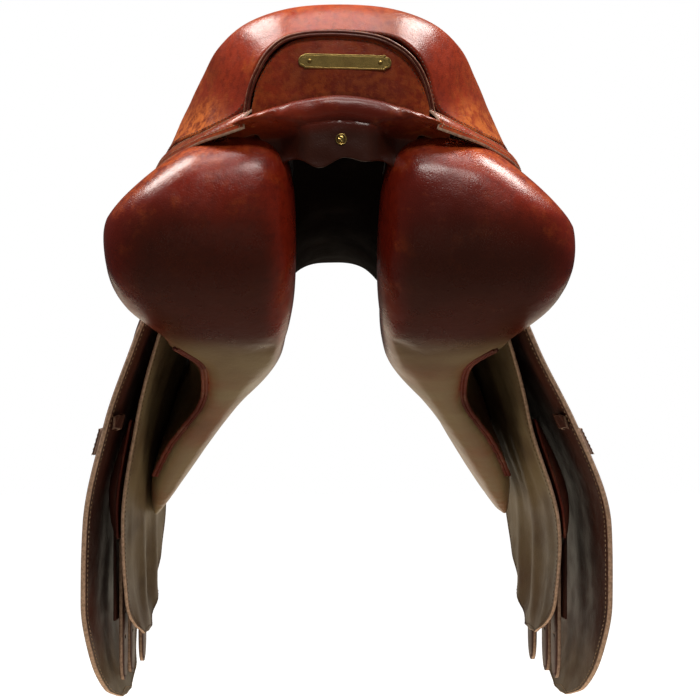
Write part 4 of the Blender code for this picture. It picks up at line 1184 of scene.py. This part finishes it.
def billet_x(word, y, z):
    """The middle of a billet's thickness, unsigned: it leaves the sweat flap and then hangs plumb."""
    hang = side_x(y, -180) + SWEAT_SET[word] + SWEAT_LEATHER + 7.2
    near = side_x(y, z) + sweat_offset(word, y, z) + SWEAT_LEATHER + 3.6
    return mix(hang, near, smoothstep(-140, -60, z))


def build_billet(word, s, place, body):
    """A strap with a rounded point, eight buckle holes and a row of stitches down each edge."""
    y = BILLET_PLACES[place]
    levels = [mix(BILLET_TOP, BILLET_TAPER, k / 60) for k in range(61)]
    tip = [BILLET_TAPER - BILLET_POINT * math.sin(math.pi / 2 * k / 8) for k in range(1, 9)]
    sections = []
    for z in levels + tip:
        down = min(1.0, max(0.0, (BILLET_TAPER - z) / BILLET_POINT))
        half = BILLET_HALF * math.sqrt(max(0.02, 1 - down**2.4))
        lean = (side_x(y + BILLET_HALF, z) - side_x(y - BILLET_HALF, z)) / (2 * BILLET_HALF)
        thick = BILLET_LEATHER / 2
        ring = []
        for across, up in ((-1, -0.6), (-0.94, -1), (0.94, -1), (1, -0.6), (1, 0.6), (0.94, 1),
                           (-0.94, 1), (-1, 0.6)):
            ring.append((s * (billet_x(word, y, z) + lean * across * half + up * thick),
                         y + across * half, z))
        sections.append(ring)
    points = [p for ring in sections for p in ring]
    strap = piece(f"billet_strap_{place}_{word}", points, loft_faces(len(sections), 8), BRIDLE, body,
                  [f"billet_{place}_{word}"])
    drills = bmesh.new()
    for k in range(8):
        z = HOLE_FIRST + HOLE_PITCH * k
        spot = Vector((s * billet_x(word, y, z), y, z)) * MM
        bmesh.ops.create_cone(drills, cap_ends=True, segments=16,
                              radius1=HOLE_RADIUS * MM, radius2=HOLE_RADIUS * MM,
                              depth=16 * MM, matrix=Matrix.Translation(spot)
                              @ Matrix.Rotation(math.pi / 2, 4, "Y"))
    mesh = bpy.data.meshes.new("drills")
    drills.to_mesh(mesh)
    drills.free()
    cutter = bpy.data.objects.new("drills", mesh)
    bpy.context.scene.collection.objects.link(cutter)
    cut(strap, cutter)
    finish_piece(strap, body)
    mark(strap, "edge",
         lambda p, n: 0.75 * smoothstep(0.75, 0.95, abs(n.y) + 0.6 * max(0, -n.z)))
    for k, side in enumerate((-1, 1)):
        path = [(s * (billet_x(word, y, z) + 1.7), y + side * 10.1, z)
                for z in (mix(20, -255, m / 60) for m in range(61))]
        stitch_row(f"billet_stitches_{place}_{word}_{k}", path, strap, THREAD, body,
                   pitch=4.0, radius=0.22)


def build_ring(word):
    """A front D-ring's round wire, in the place that the CAD ring takes."""
    low, high = (Vector(c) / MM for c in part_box(f"d_ring_{word}"))
    x, y = (low.x + high.x) / 2, (low.y + high.y) / 2
    bar = high.z - 1.8
    path = [(x, y + 13.2 * math.cos(math.pi * k / 24), bar - 6 - 13.2 * math.sin(math.pi * k / 24))
            for k in range(25)]
    path += [(x, y - 13.2, bar - 2.0), (x, y - 12.6, bar - 0.6), (x, y - 11.4, bar), (x, y, bar),
             (x, y + 11.4, bar), (x, y + 12.6, bar - 0.6), (x, y + 13.2, bar - 2.0)]
    points, faces = tube(path, 1.8, 14, True)
    piece(f"ring_{word}", points, faces, STEEL, f"d_ring_{word}", [f"d_ring_{word}"])


# ------------------------------------------------------------------ everything
def paint_nodes():
    """Materials of the CAD nodes that stay in sight as they are."""
    skins = {
        "tree_frame": WOOD, "tree_head_arch": WOOD, "seat_foam": FOAM, "seat_webbing": WEB,
        "head_plate": STEEL, "gullet_plate": STEEL, "cantle_plate": STEEL, "tree_spring": STEEL,
        "girth_web_front": WEB, "girth_web_rear": WEB, "point_pocket": BRIDLE,
    }
    for name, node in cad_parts.items():
        skin = skins.get(name.removesuffix("_left").removesuffix("_right"))
        if skin:
            node.data.materials.clear()
            node.data.materials.append(skin)


build_camera()
build_studio()
paint_nodes()
build_seat()
build_back()
build_facing()
build_plate()
build_channel()
build_pommel_facing()
for side_word, side_sign in SIDES:
    build_panel(side_word, side_sign)
    build_leather(side_word, side_sign)
    build_keeper(side_word, side_sign)
    build_valance(side_word, side_sign)
    build_block("knee", side_word, side_sign, *KNEE)
    build_block("calf", side_word, side_sign, *CALF)
    for strap_place in BILLET_PLACES:
        strap_body = "billet_front" if strap_place == "front" else "billet_pair"
        build_billet(side_word, side_sign, strap_place, f"{strap_body}_{side_word}")
    refined(f"buckle_guard_{side_word}", f"guard_{side_word}", 0.8, BRIDLE,
            f"buckle_guard_{side_word}")
    refined(f"stirrup_bar_{side_word}", f"bar_{side_word}", 1.2, STEEL, "saddle", 3)
    refined(f"bar_catch_{side_word}", f"catch_{side_word}", 0.9, STEEL, f"bar_catch_{side_word}")
    refined(f"d_ring_chape_{side_word}", f"chape_{side_word}", 0.8, BRIDLE, "saddle")
    build_ring(side_word)
